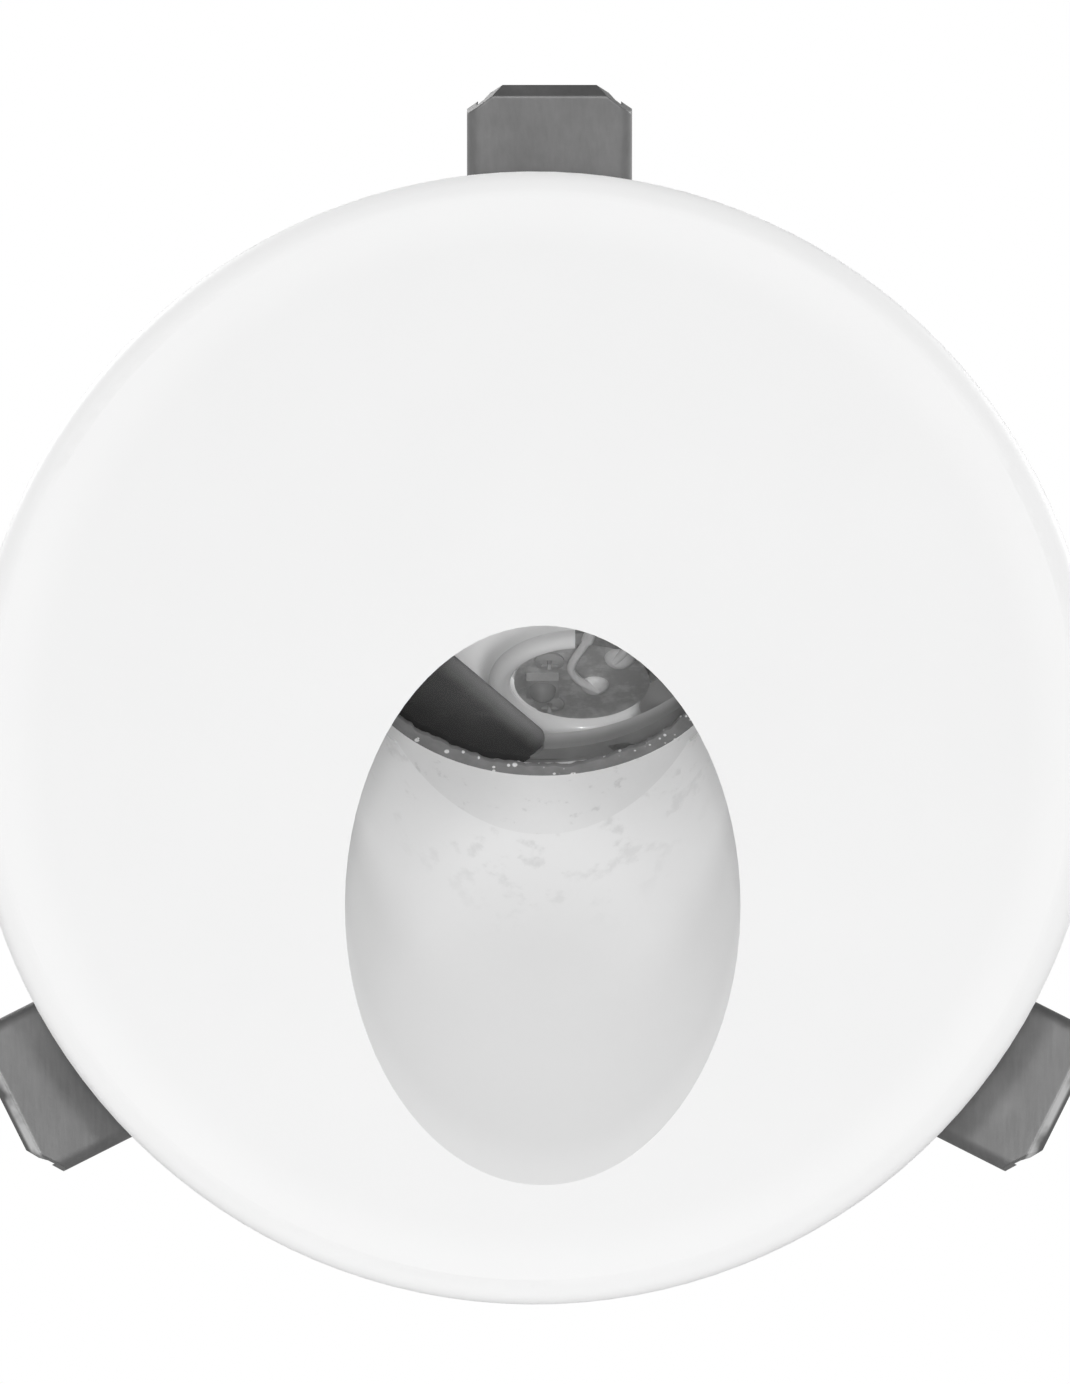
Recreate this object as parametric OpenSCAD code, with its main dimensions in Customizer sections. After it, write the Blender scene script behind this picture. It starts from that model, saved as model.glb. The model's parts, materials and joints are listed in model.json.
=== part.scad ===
// Recessed step light with a tilted light bore and three spring-loaded retaining arms.
// Origin: centre of the flange's back face. +Y goes into the wall, +Z is up. Millimetres.

/* [Face plate] */
// Diameter of the face plate
face_d = 82; // [78:1:90]
// Thickness of the face plate
face_t = 3.5; // [3:0.1:5]
// Radius of the rounded front rim
rim_r = 1.8; // [0.5:0.1:2.5]

/* [Light bore] */
// Diameter of the tilted round bore
bore_d = 28.6; // [26:0.1:29.5]
// Angle of the bore above the level, going into the wall
bore_tilt = 45; // [43:1:47]
// Drop of the oval's centre below the centre of the face
bore_drop = 12.1; // [11:0.1:13]
// Sideways place of the opening's centre from the face's centre
bore_shift = 0.6; // [0:0.1:0.8]
// Distance along the bore from the face to the lens
lens_depth = 27.4; // [26.5:0.1:28]
// Wall thickness of the front casting's bore
bore_wall = 2; // [1.5:0.1:2.3]
// Depth of the seam between the front casting and the lens frame, from the face
seam_depth = 25.2; // [24.5:0.1:25.5]

/* [Body in the wall] */
// Diameter of the body behind the face plate
body_d = 57; // [56.5:0.1:57.5]
// Wall thickness of the body
body_wall = 2.2; // [1.6:0.1:2.4]
// Depth of the rear housing, from its joint to the back of its rear wall
rear_depth = 25; // [24.5:0.1:28]
// Thickness of the rear wall
rear_wall = 2.5; // [2:0.1:3]
// Depth of the top flat below the body's round
top_flat_depth = 2.25; // [2.1:0.05:2.5]
// Depth of the two lower flats below the body's round
low_flat_depth = 3.25; // [3.1:0.05:3.5]
// Thickness of the gasket between the front casting and the rear housing
joint_gasket_t = 0.8; // [0.5:0.1:1.2]
// Width of the joint gasket
joint_gasket_w = 1.6; // [1.2:0.1:1.8]

/* [Cooling fins] */
// Height of the fins behind the rear wall
fin_h = 5; // [3:0.5:8]
// Thickness of a fin
fin_t = 1.6; // [1.2:0.1:2]
// Distance from one fin to the next
fin_pitch = 5; // [4:0.1:6]
// Distance of the fins' ends from the body's edge
fin_inset = 1.5; // [1:0.1:3]

/* [Lens] */
// Thickness of the lens glass
glass_t = 1.8; // [1.5:0.1:2.2]
// Width of the seat behind the bore, on which the lens gasket lies
lens_seat = 1.1; // [0.9:0.1:1.2]
// Clearance round the lens glass in its pocket
glass_fit = 0.3; // [0.2:0.05:0.4]
// Thickness of the lens gasket
lens_gasket_t = 0.6; // [0.4:0.1:0.8]
// Width of the gasket's edge that shows in the bore
gasket_show = 1; // [0.3:0.1:1.2]
// Thickness of the threaded clamp ring
clamp_ring_t = 1.6; // [1.2:0.1:1.8]
// Width of the clamp ring
clamp_ring_w = 1.5; // [1.2:0.1:1.8]
// Wall thickness of the lens frame's socket
socket_wall = 1.4; // [1.2:0.1:1.5]
// Depth of the lip in front of the lens
lens_lip = 1.2; // [1:0.1:1.4]
// Distance of the baffle's straight edge from the middle of the glass
baffle_inset = 7.7; // [7:0.1:8.5]
// Direction of the baffle from the middle of the glass
baffle_angle = 140; // [135:1:145]
// Thickness of the baffle
baffle_t = 0.5; // [0.4:0.1:0.6]
// Radius of the baffle's rounded end
baffle_end_r = 1.7; // [1.4:0.1:2]
// Thickness of the lens frame's plate
frame_plate_t = 2; // [1.6:0.1:2.4]

/* [LED] */
// Side offset of the LED from the centre line, to the right
led_x = 3.5; // [0:0.1:4]
// Depth of the reflector's mouth behind the flange's back
led_y = 30.6; // [30.4:0.1:30.8]
// Height of the reflector's mouth above the centre
led_z = 4; // [3.8:0.1:4.2]
// Angle of the light's aim below the level
led_aim = 57; // [56:1:59]
// Diameter of the LED board
board_d = 10; // [9.8:0.1:10.2]
// Thickness of the LED board
board_t = 1; // [0.8:0.1:1.2]
// Recess of the board inside the reflector's mouth
board_recess = 0.1; // [0.1:0.1:0.3]
// Thickness of the thermal pad
pad_t = 0.5; // [0.3:0.1:0.7]
// Side length of the square emitter
emitter_w = 2.4; // [2:0.1:2.6]
// Height of the emitter's base
emitter_h = 0.7; // [0.5:0.1:0.9]
// Diameter of the emitter's dome
dome_d = 2; // [1.6:0.1:2.2]
// Radius of the reflector's rounded lip
lip_r = 0.8; // [0.7:0.1:0.9]
// Height of the reflector from its mouth to its foot
reflector_h = 6; // [5.5:0.1:6.2]
// Outer radius of the reflector's foot
reflector_foot_r = 11.5; // [11.4:0.1:11.7]
// Wall thickness of the reflector
reflector_wall = 1.2; // [1:0.1:1.4]
// Width of the carrier
carrier_w = 13; // [12:0.1:13.5]
// Height of the carrier's top above the centre
carrier_top = 19; // [18:0.1:20]

/* [Terminal block and leads] */
// Width of the terminal block
terminal_w = 12; // [11:0.5:13]
// Depth of the terminal block
terminal_l = 9; // [8:0.5:9]
// Height of the terminal block
terminal_h = 8; // [7:0.5:8]
// Height of the terminal block's foot above the body's lowest point
terminal_lift = 7; // [6.7:0.1:7.5]
// Diameter of an insulated lead
lead_d = 0.9; // [0.8:0.1:1.1]

/* [Cable gland] */
// Drop of the gland's axis below the centre
gland_drop = 13; // [12.5:0.1:13.5]
// Diameter of the gland's thread
gland_thread_d = 12; // [11.5:0.1:12.5]
// Size across the gland's flats
gland_af = 14; // [13.5:0.1:15]
// Height of the gland body's hexagon
gland_hex_h = 4; // [3:0.1:5]
// Length of thread behind the hexagon
gland_tail = 6; // [5:0.1:7]
// Height of the lock nut inside the wall
locknut_h = 2.5; // [2:0.1:3]
// Bore of the gland body
gland_bore_d = 8.6; // [8.2:0.1:9]
// Diameter of the cord that the seal grips
cord_d = 6.2; // [5:0.1:6.5]
// Length of the seal
seal_l = 8; // [7:0.1:9]
// Length of the dome beyond the thread
gland_dome_h = 3.5; // [3:0.1:4.5]

/* [Retaining arms] */
// Width of an arm
arm_w = 12; // [11.8:0.1:12.2]
// Thickness of the arms' and brackets' sheet steel
sheet = 0.8; // [0.7:0.05:0.9]
// Distance from the hinge pin to the front face of an arm
arm_front = 3; // [2.95:0.05:3.1]
// Length of an arm from its pin to the bend of its tip
arm_l = 18.8; // [17:0.1:19]
// Length of the bent tip
tip_l = 1.2; // [1:0.1:2]
// Angle of the bent tip
tip_bend = 60; // [30:1:60]
// Width of the cut at each corner of the tip
tip_cut_w = 2.6; // [2:0.1:3.5]
// Length of the cut at each corner of the tip
tip_cut_l = 2; // [1.5:0.1:3]
// Depth of an arm's side flange near the pin
flange_depth = 4.2; // [3.8:0.1:4.4]
// Depth of an arm's side flange at the tip
flange_tip = 1.4; // [1:0.1:2]
// Outer radius of the bends along an arm
bend_r = 1; // [0.9:0.05:1.1]
// Lean of an arm towards the flange at rest
arm_lean = 16; // [14:1:17]
// Distance of the hinge pins behind the flange's back
pin_y = 11; // [10.8:0.1:11.2]
// Angle of the two lower arms below the level
low_angle = 26.6; // [26:0.1:27]
// Side offset of each lower arm's centre line, downwards
low_shift = 6.85; // [6.5:0.05:7]
// Side offset of the top arm's centre line, to the right
top_shift = 1.1; // [0:0.1:1.5]

/* [Hinges] */
// Diameter of a hinge pin
pin_d = 2; // [1.8:0.1:2.1]
// Diameter of a hinge pin's head
pin_head_d = 3.4; // [3:0.1:3.6]
// Thickness of a hinge pin's head
pin_head_t = 0.6; // [0.5:0.05:0.8]
// Radius of the round end of an arm's lug
lug_r = 2.2; // [2:0.05:2.3]
// Radius of the round end of a bracket's ear
ear_r = 1.95; // [1.8:0.05:2]
// Outer width of a bracket
bracket_w = 9.4; // [9.2:0.1:9.6]
// Length of a bracket's base behind its pin
bracket_tail = 8.8; // [8.4:0.1:9]
// Width of a bracket's stop tab
stop_w = 6.4; // [5:0.1:7]
// Height of a bracket's stop tab above its pin
stop_h = 1.6; // [1.2:0.1:1.8]
// Distance of a bracket's screw behind its pin
clip_screw_y = 6; // [5.8:0.1:6.2]

/* [Torsion springs] */
// Diameter of the spring wire
wire_d = 0.7; // [0.6:0.05:0.75]
// Mean radius of the coil
coil_r = 1.7; // [1.65:0.05:1.75]
// Whole turns of the coil
coil_turns = 5; // [3:1:5]
// Distance from one turn to the next
coil_pitch = 1.15; // [1.13:0.01:1.16]
// Length of the leg on the arm
leg_arm_l = 9; // [6:0.5:11]
// Length of the leg on the bracket
leg_base_l = 5; // [4:0.5:6]

/* [Screws] */
// Diameter of the long housing screws
housing_screw_d = 3; // [2.5:0.1:3]
// Distance of the housing screws from the body's edge
housing_screw_inset = 5.1; // [5:0.1:5.3]
// Diameter of the lens frame's screws
frame_screw_d = 2.5; // [2:0.1:2.6]
// Diameter of the brackets' screws
clip_screw_d = 2.5; // [2:0.1:2.6]
// Diameter of the small screws on the LED board and terminal block
small_screw_d = 1.6; // [1.4:0.1:1.8]
// Wall round each screw's pilot hole
boss_wall = 1.5; // [1.2:0.1:1.7]

/* [Fits] */
// Radial clearance of a hinge pin
pin_fit = 0.05; // [0.03:0.01:0.08]
// Clearance between parts that only lie next to each other
near = 0.3; // [0.2:0.05:0.35]
// Clearance of a screw in its hole
screw_fit = 0.1; // [0.05:0.05:0.15]
// Gap between an arm and its stop at rest
stop_gap = 0.1; // [0.08:0.01:0.15]

/* [Hidden] */
$fn = 96;
small_fn = 48;
far = 200;
tiny = 0.01;

casting_white = "#f2f2f1";
steel_grey = "#7a7a7a";
screw_grey = "#b4b4b4";
rubber_dark = "#2b2b2b";
frame_grey = "#dcdcdb";
plastic_dark = "#3a3a3a";

// Light bore: the lens plane's centre lies lens_depth along the bore from the face.
bore_r = bore_d / 2;
lens_y = lens_depth * cos(bore_tilt) - face_t;
lens_z = lens_depth * sin(bore_tilt) - bore_drop;
seam_y = seam_depth - face_t;
pocket_r = bore_r + lens_seat;
socket_r = pocket_r + socket_wall;
clamp_seat = lens_gasket_t + glass_t;
socket_end = clamp_seat + clamp_ring_t + near;

// Body in the wall, from the flange's back to the rear wall.
body_r = body_d / 2;
top_flat = body_r - top_flat_depth;
low_flat = body_r - low_flat_depth;
wall_hole_d = 68;
joint_y = seam_y - joint_gasket_t;
rear_y = seam_y + rear_depth;
inner_rear_y = rear_y - rear_wall;

// Hinges: index 0 is the top arm, 1 the lower left one, 2 the lower right one.
TOP = 0;
LEFT = 1;
RIGHT = 2;
clip_angle = [90, 180 + low_angle, -low_angle];
clip_shift = [top_shift, -low_shift, low_shift];
clip_flat = [top_flat, low_flat, low_flat];
coil_gap = 0.2;
pin_lift = coil_r + wire_d / 2 + coil_gap + sheet;
base_top = sheet - pin_lift;
pin_hole_r = pin_d / 2 + pin_fit;
stop_y = -(arm_front + stop_h * sin(arm_lean)) / cos(arm_lean) - stop_gap;
tip_top = arm_l + tip_l * cos(tip_bend);
clip_screw_l = 5;
arm_root = 0.5;

// Torsion springs: angles round the pin, and the rings and sides of the wire.
coil_rings = 8;
wire_sides = 6;
leg_steps = 3;
coil_start = -90;
coil_end = 360 * coil_turns - arm_lean;
coil_sweep = coil_end - coil_start;
coil_steps = round(coil_sweep * coil_rings / 360);
coil_half = coil_pitch * coil_sweep / 720;
clip_pilot = clip_screw_l + near;

// LED stack, counted from the reflector's mouth up along the light's aim.
reflector_mouth_r = board_d / 2 + near;
lip_mid_r = reflector_mouth_r + lip_r;
lip_step = 0.1;
board_top = -board_recess;
board_foot = board_top - board_t;
pad_foot = board_foot - pad_t;
pedestal_r = board_d / 2 - near;
reflector_cut_x = -0.5;
reflector_cut_y = 0.4;
reflector_cut_angle = -37;
baffle_reach = 9.1;
lead_run_gap = 4.9;
lead_run_x = body_r - body_wall - lead_run_gap;
lead_pair_gap = 3;
lead_inner_x = lead_run_x - lead_pair_gap;
emitter_x = -2.9;
board_screw_x = -2.4;
board_screw_y = 2.9;
board_screw_head_r = 1.1;
board_screw_head_h = 0.5;
board_screw_l = 4.5;
carrier_screw_inset = 3;
carrier_screw_drop = 4;
carrier_pilot_l = 8;
carrier_screw_z = carrier_top - carrier_screw_drop;
carrier_screw_x = carrier_w / 2 - carrier_screw_inset;
carrier_screw_d = frame_screw_d;
carrier_screw_l = 7;

// Screws. Heads are 1.8 thread diameters wide and half a diameter high.
head_wide = 0.9;
head_high = 0.5;
housing_screw_angles = [50, 130, 240, 300];
housing_screw_r = body_r - housing_screw_inset;
housing_boss_r = housing_screw_d / 2 + boss_wall;
housing_boss_l = 5;
housing_thread_l = 4.5;
housing_sink = 1;
frame_screw_inset = 10.5;
frame_screw_x = body_r - frame_screw_inset;
frame_screw_z = -8;
frame_boss_r = frame_screw_d / 2 + boss_wall;
frame_boss_l = 8;
frame_thread_l = 6;
frame_rib_t = 2;

// Terminal block, on a shelf that stands out from the lens frame's plate.
terminal_drop = body_r - terminal_lift;
terminal_y = seam_y + frame_plate_t;
terminal_mid_y = terminal_y + terminal_l / 2;
terminal_top = terminal_h - terminal_drop;
terminal_pole = terminal_w / 4;
terminal_bore_r = lead_d / 2 + near / 2;
terminal_bore_l = 4;
terminal_outlet_drop = 2;

// Leads: from a pad on the board, out through the reflector's slot and down to the terminal block.
lead_h = board_top + lead_d / 2 + tiny;
lead_rise = 2;
lead_bend = 1.6;
lead_bend_share = 0.45;
lead_bend_steps = 3;
lead_sides = 8;
lead_plus_path = [
    led_point(1.2, -0.5, lead_h), led_point(-0.3, 0.9, lead_h), led_point(-0.9, 2.4, lead_h),
    led_point(-0.5, 4, lead_h), led_point(0.6, 6.6, lead_h), [5, 23, 11.5], [9, 22, 14],
    [lead_run_x - 2.4, 24.2, 9.8], [lead_run_x, 28, 2], [lead_run_x - 0.2, 30, -5.5], [12, 30, -10.5],
    [terminal_pole, terminal_mid_y, terminal_top + lead_rise],
    [terminal_pole, terminal_mid_y, terminal_top + near - terminal_bore_l],
];
lead_minus_path = [
    led_point(2.4, 3.4, lead_h), led_point(3.7, 5.8, lead_h), [8.6, 23.6, 9.4],
    [lead_inner_x - 0.9, 25.4, 7.4], [lead_inner_x, 32, 0], [lead_inner_x - 2.4, 34, -7.5], [0, 34, -9],
    [-terminal_pole, terminal_mid_y, terminal_top + lead_rise],
    [-terminal_pole, terminal_mid_y, terminal_top + near - terminal_bore_l],
];

// Point given beside the LED's axis (x, y) and h beyond the reflector's mouth.
function led_point(x, y, h) = [
    led_x + x,
    led_y - y * sin(led_aim) - h * cos(led_aim),
    led_z + y * cos(led_aim) - h * sin(led_aim),
];

// Gland.
gland_tool_gap = 2;
head_tool_gap = 1;
gland_hole_r = gland_thread_d / 2 + screw_fit;
hex_r = gland_af / 2 / cos(30);
thread_fit = screw_fit / 2;
gland_end_y = rear_y + gland_hex_h + gland_tail;
thread_past_nut = 1;
gland_start_y = inner_rear_y - locknut_h - thread_past_nut;
seal_end_y = gland_end_y + near;
seal_y = seal_end_y - seal_l;
cord_play = 0.5;
cord_way_r = cord_d / 2 + cord_play;
dome_end_wall = 1.1;
dome_end_r = cord_way_r + dome_end_wall;

// Places children with +Z along the light bore, w behind the lens plane.
module on_bore(w) {
    translate([bore_shift, lens_y, lens_z]) rotate([bore_tilt - 90, 0, 0]) translate([0, 0, w]) children();
}

// Places children with +Z along the light's aim, h beyond the reflector's mouth.
module on_led(h) {
    translate([led_x, led_y, led_z]) rotate([90 + led_aim, 0, 0]) translate([0, 0, h]) children();
}

// Extrudes a front view outline from depth y0 to depth y1.
module slab(y0, y1) {
    translate([0, y1, 0]) rotate([90, 0, 0]) linear_extrude(y1 - y0) children();
}

// Cylinder along +Y at a place in the front view, from depth y0 to depth y1.
module post(x, z, y0, y1, r) {
    translate([x, y0, z]) rotate([-90, 0, 0]) cylinder(h = y1 - y0, r = r, $fn = small_fn);
}

// Places children at a hinge pin: +Z outwards, +Y into the wall, X along the pin.
module at_clip(i) {
    translate([0, pin_y, 0])
        rotate([0, 90 - clip_angle[i], 0])
            translate([clip_shift[i], 0, clip_flat[i] + pin_lift])
                children();
}

// Places children at each housing screw.
module at_housing_screws() {
    for (a = housing_screw_angles)
        translate([housing_screw_r * cos(a), 0, housing_screw_r * sin(a)]) children();
}

// Outlines of the housing screws' bosses, each run into the body's wall.
module housing_boss_outline(extra) {
    r = housing_boss_r + extra;
    intersection() {
        for (a = housing_screw_angles)
            rotate(a) {
                translate([housing_screw_r, 0]) circle(r = r, $fn = small_fn);
                translate([housing_screw_r, -r]) square([body_r - housing_screw_r, 2 * r]);
            }
        body_outline(tiny);
    }
}

// Outline of the body: a circle with a flat under each arm.
module body_outline(inset) {
    difference() {
        circle(r = body_r - inset);
        for (i = [TOP, LEFT, RIGHT])
            rotate(clip_angle[i])
                translate([clip_flat[i] - inset, -body_r]) square([body_r, body_d]);
    }
}

module body_ring(wall) {
    difference() {
        body_outline(0);
        body_outline(wall);
    }
}

// Screw with a round head, its head's underside at z = 0 and its shank down -Z.
module screw(d, l) {
    cylinder(h = d * head_high, r = d * head_wide, $fn = small_fn);
    translate([0, 0, -l]) cylinder(h = l + tiny, r = d / 2, $fn = small_fn);
}

module hexagon(af) {
    circle(r = af / 2 / cos(30), $fn = 6);
}

module face_plate() {
    rotate([90, 0, 0])
        rotate_extrude() {
            square([face_d / 2 - rim_r, face_t]);
            square([face_d / 2, face_t - rim_r]);
            translate([face_d / 2 - rim_r, face_t - rim_r])
                intersection() {
                    circle(r = rim_r);
                    square(rim_r);
                }
        }
}

// Tilted wall of the bore, from the face to the seam or to the socket's lip.
module front_bore_wall() {
    intersection() {
        on_bore(-far - lens_lip - near) cylinder(h = far, r = bore_r + bore_wall);
        slab(-face_t / 2, seam_y) circle(d = wall_hole_d - 2 * near);
    }
}

module front_bosses() {
    slab(joint_y - housing_boss_l, joint_y) housing_boss_outline(0);
    for (x = [-frame_screw_x, frame_screw_x])
        post(x, frame_screw_z, seam_y - frame_boss_l, seam_y, frame_boss_r);
    for (x = [-frame_screw_x, frame_screw_x])
        translate([x > 0 ? x : -body_r + body_wall, seam_y - frame_boss_l, frame_screw_z - frame_rib_t / 2])
            cube([body_r - body_wall - frame_screw_x, frame_boss_l - joint_gasket_t - near, frame_rib_t]);
    for (i = [TOP, LEFT, RIGHT])
        at_clip(i)
            translate([0, clip_screw_y, -pin_lift - clip_pilot])
                cylinder(h = clip_pilot - near, r = clip_screw_d / 2 + boss_wall, $fn = small_fn);
}

// Pilot holes for the screws that end in the front casting.
module front_pilots() {
    at_housing_screws()
        post(0, 0, joint_y - housing_thread_l, joint_y + tiny, housing_screw_d / 2 + screw_fit);
    for (x = [-frame_screw_x, frame_screw_x])
        post(x, frame_screw_z, seam_y - frame_thread_l, seam_y + tiny, frame_screw_d / 2 + screw_fit);
    for (i = [TOP, LEFT, RIGHT])
        at_clip(i)
            translate([0, clip_screw_y, -pin_lift - clip_pilot - tiny])
                cylinder(h = clip_pilot + near, r = clip_screw_d / 2 + screw_fit, $fn = small_fn);
}

module front_casting() {
    color(casting_white)
        difference() {
            union() {
                face_plate();
                slab(-face_t / 2, joint_y) body_ring(body_wall);
                front_bore_wall();
                intersection() {
                    front_bosses();
                    slab(-tiny, seam_y) body_outline(tiny);
                }
            }
            on_bore(-far) cylinder(h = far, r = bore_r);
            front_pilots();
        }
}

// Second piece of the bore's wall: a plate behind the seam with the tilted lens socket.
module lens_frame() {
    color(frame_grey)
        difference() {
            union() {
                slab(seam_y, seam_y + frame_plate_t)
                    intersection() {
                        body_outline(body_wall + near);
                        translate([-body_r, -body_r]) square([body_d, body_r + lens_z]);
                    }
                on_bore(-lens_lip) cylinder(h = lens_lip + socket_end, r = socket_r);
                intersection() {
                    on_bore(-far) cylinder(h = far, r = socket_r);
                    slab(seam_y, far) square(body_d, center = true);
                }
                terminal_shelf();
            }
            on_bore(-far) cylinder(h = far + tiny, r = bore_r);
            on_bore(0) cylinder(h = 2 * socket_end, r = pocket_r);
            for (x = [-frame_screw_x, frame_screw_x])
                post(x, frame_screw_z, 0, far, frame_screw_d / 2 + screw_fit);
            slab(joint_y - housing_boss_l - near, far) housing_boss_outline(near);
            translate([0, terminal_mid_y, -terminal_drop])
                cylinder(h = 2 * terminal_h, r = small_screw_d / 2 + screw_fit, center = true, $fn = small_fn);
        }
}

module terminal_shelf() {
    translate([-terminal_w / 2, seam_y, -terminal_drop - frame_plate_t])
        cube([terminal_w, frame_plate_t + terminal_l, frame_plate_t]);
}

module frame_screws() {
    color(screw_grey)
        for (x = [-frame_screw_x, frame_screw_x])
            translate([x, seam_y + frame_plate_t, frame_screw_z])
                rotate([-90, 0, 0]) screw(frame_screw_d, frame_plate_t + frame_thread_l - near);
}

// Ring that lies in the lens pocket, of a given width.
module pocket_ring(inner_r, h) {
    difference() {
        cylinder(h = h, r = pocket_r - screw_fit / 2);
        translate([0, 0, -tiny]) cylinder(h = h + 2 * tiny, r = inner_r);
    }
}

module lens_gasket() {
    color(rubber_dark) on_bore(0) pocket_ring(bore_r - gasket_show, lens_gasket_t);
}

module lens_glass() {
    color("#c9d2d4", 0.35) on_bore(lens_gasket_t) cylinder(h = glass_t, r = pocket_r - glass_fit);
}

// Front view of the baffle: a segment of the glass's circle with one rounded end.
module baffle_outline() {
    intersection() {
        circle(r = pocket_r - screw_fit / 2);
        rotate(baffle_angle) {
            translate([baffle_inset, -baffle_reach]) square([far, far]);
            translate([baffle_inset + baffle_end_r, -baffle_reach]) circle(r = baffle_end_r, $fn = small_fn);
        }
    }
}

// Black sheet between the glass and the clamp ring, which shades one side of the lens.
module lens_baffle() {
    color(plastic_dark) on_bore(clamp_seat) linear_extrude(baffle_t) baffle_outline();
}

module lens_clamp_ring() {
    color(steel_grey)
        on_bore(clamp_seat)
            difference() {
                pocket_ring(pocket_r - clamp_ring_w, clamp_ring_t);
                translate([0, 0, -tiny]) linear_extrude(baffle_t + tiny) baffle_outline();
            }
}

// Wedge that opens the light cup towards the leads.
module reflector_cut() {
    translate([reflector_cut_x, reflector_cut_y, -far / 2])
        linear_extrude(far)
            polygon([
                [0, 0],
                [far * cos(reflector_cut_angle), far * sin(reflector_cut_angle)],
                [far, far],
                [0, far],
            ]);
}

// Light cup with a rounded lip at its mouth, widening towards its foot, and open where the leads enter.
module reflector() {
    color("#d2d2d2")
        on_led(0)
            difference() {
                union() {
                    rotate_extrude() translate([lip_mid_r, 0]) circle(r = lip_r, $fn = small_fn);
                    rotate_extrude()
                        polygon([
                            [reflector_mouth_r + lip_step, -lip_step],
                            [lip_mid_r + lip_r - lip_step, -lip_step],
                            [reflector_foot_r, -reflector_h],
                            [reflector_foot_r - reflector_wall, -reflector_h],
                            [reflector_mouth_r + lip_step, pad_foot],
                        ]);
                }
                reflector_cut();
            }
}

module led_emitter() {
    color("#c8c8c6")
        on_led(board_top) translate([emitter_x - emitter_w / 2, -emitter_w / 2, 0])
            cube([emitter_w, emitter_w, emitter_h]);
}

module emitter_dome() {
    color("#e8e6d8", 0.6)
        on_led(board_top + emitter_h)
            translate([emitter_x, 0, 0])
                intersection() {
                    sphere(d = dome_d, $fn = small_fn);
                    cylinder(h = dome_d, d = dome_d, $fn = small_fn);
                }
}

module led_board() {
    color("#39352f")
        on_led(board_foot)
            difference() {
                cylinder(h = board_t, d = board_d);
                board_screw_holes(board_t);
            }
}

module board_screw_holes(h) {
    for (y = [-board_screw_y, board_screw_y])
        translate([board_screw_x, y, -tiny])
            cylinder(h = h + 2 * tiny, r = small_screw_d / 2 + screw_fit, $fn = small_fn);
}

module board_screws() {
    color(screw_grey)
        for (y = [-board_screw_y, board_screw_y])
            on_led(board_top)
                translate([board_screw_x, y, 0]) {
                    cylinder(h = board_screw_head_h, r = board_screw_head_r, $fn = small_fn);
                    translate([0, 0, -board_screw_l])
                        cylinder(h = board_screw_l + tiny, r = small_screw_d / 2, $fn = small_fn);
                }
}

module thermal_pad() {
    color("#9aa0a6")
        on_led(pad_foot)
            difference() {
                cylinder(h = pad_t, r = pedestal_r);
                board_screw_holes(pad_t);
            }
}

// Cooling block on the rear wall, with a sloping underside and a round pedestal for the board.
module led_carrier() {
    color("#c4c6c8")
        difference() {
            union() {
                difference() {
                    translate([led_x - carrier_w / 2, led_y, led_z])
                        cube([carrier_w, inner_rear_y - led_y, carrier_top - led_z]);
                    on_led(-reflector_h) cylinder(h = far, r = far);
                }
                on_led(-reflector_h - 1) cylinder(h = reflector_h + 1 + pad_foot, r = pedestal_r);
            }
            on_led(board_top - board_screw_l - near) board_screw_holes(board_screw_l);
            for (x = [-carrier_screw_x, carrier_screw_x])
                post(led_x + x, carrier_screw_z, inner_rear_y - carrier_pilot_l, far,
                     carrier_screw_d / 2 + screw_fit);
        }
}

module carrier_screws() {
    color(screw_grey)
        for (x = [-carrier_screw_x, carrier_screw_x])
            translate([led_x + x, rear_y, carrier_screw_z])
                rotate([-90, 0, 0]) screw(carrier_screw_d, carrier_screw_l);
}

// Wire through rings, each given as its centre and two directions square to the wire.
module wire(rings, d, sides) {
    points = [
        for (ring = rings)
            for (k = [0 : sides - 1])
                let(a = 360 * k / sides)
                ring[0] + d / 2 * (cos(a) * ring[1] + sin(a) * ring[2])
    ];
    last = (len(rings) - 1) * sides;
    walls = [
        for (r = [0 : len(rings) - 2])
            for (k = [0 : sides - 1])
                let(a = r * sides + k, b = r * sides + (k + 1) % sides)
                each [[a, a + sides, b + sides], [a, b + sides, b]]
    ];
    caps = [for (k = [1 : sides - 2]) each [[0, k, k + 1], [last, last + k + 1, last + k]]];
    polyhedron(points, concat(walls, caps), convexity = 10);
}

// Points of a lead's path, with the corner i rounded by a parabola.
function rounded_corner(path, i) =
    let(
        back = path[i - 1] - path[i],
        on = path[i + 1] - path[i],
        reach = min(lead_bend, lead_bend_share * norm(back), lead_bend_share * norm(on)),
        start = path[i] + reach * back / norm(back),
        end = path[i] + reach * on / norm(on)
    )
    [
        for (k = [0 : lead_bend_steps])
            let(t = k / lead_bend_steps)
            (1 - t) ^ 2 * start + 2 * t * (1 - t) * path[i] + t ^ 2 * end
    ];

function rounded_path(path) = [
    path[0],
    for (i = [1 : len(path) - 2]) each rounded_corner(path, i),
    path[len(path) - 1],
];

// Rings along a path: each ring's side is the last one's, turned square to the wire's own way.
function carried_rings(path, side, i = 0) =
    i == len(path) ? [] :
    let(
        way = path[min(i + 1, len(path) - 1)] - path[max(i - 1, 0)],
        along = way / norm(way),
        square_side = side - along * (side * along),
        unit = square_side / norm(square_side)
    )
    concat([[path[i], unit, cross(along, unit)]], carried_rings(path, unit, i + 1));

module lead(path) {
    wire(carried_rings(rounded_path(path), [1, 0, 0]), lead_d, lead_sides);
}

module lead_plus() {
    color("#e6e6e4") lead(lead_plus_path);
}

module lead_minus() {
    color("#4a4a4a") lead(lead_minus_path);
}

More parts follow.
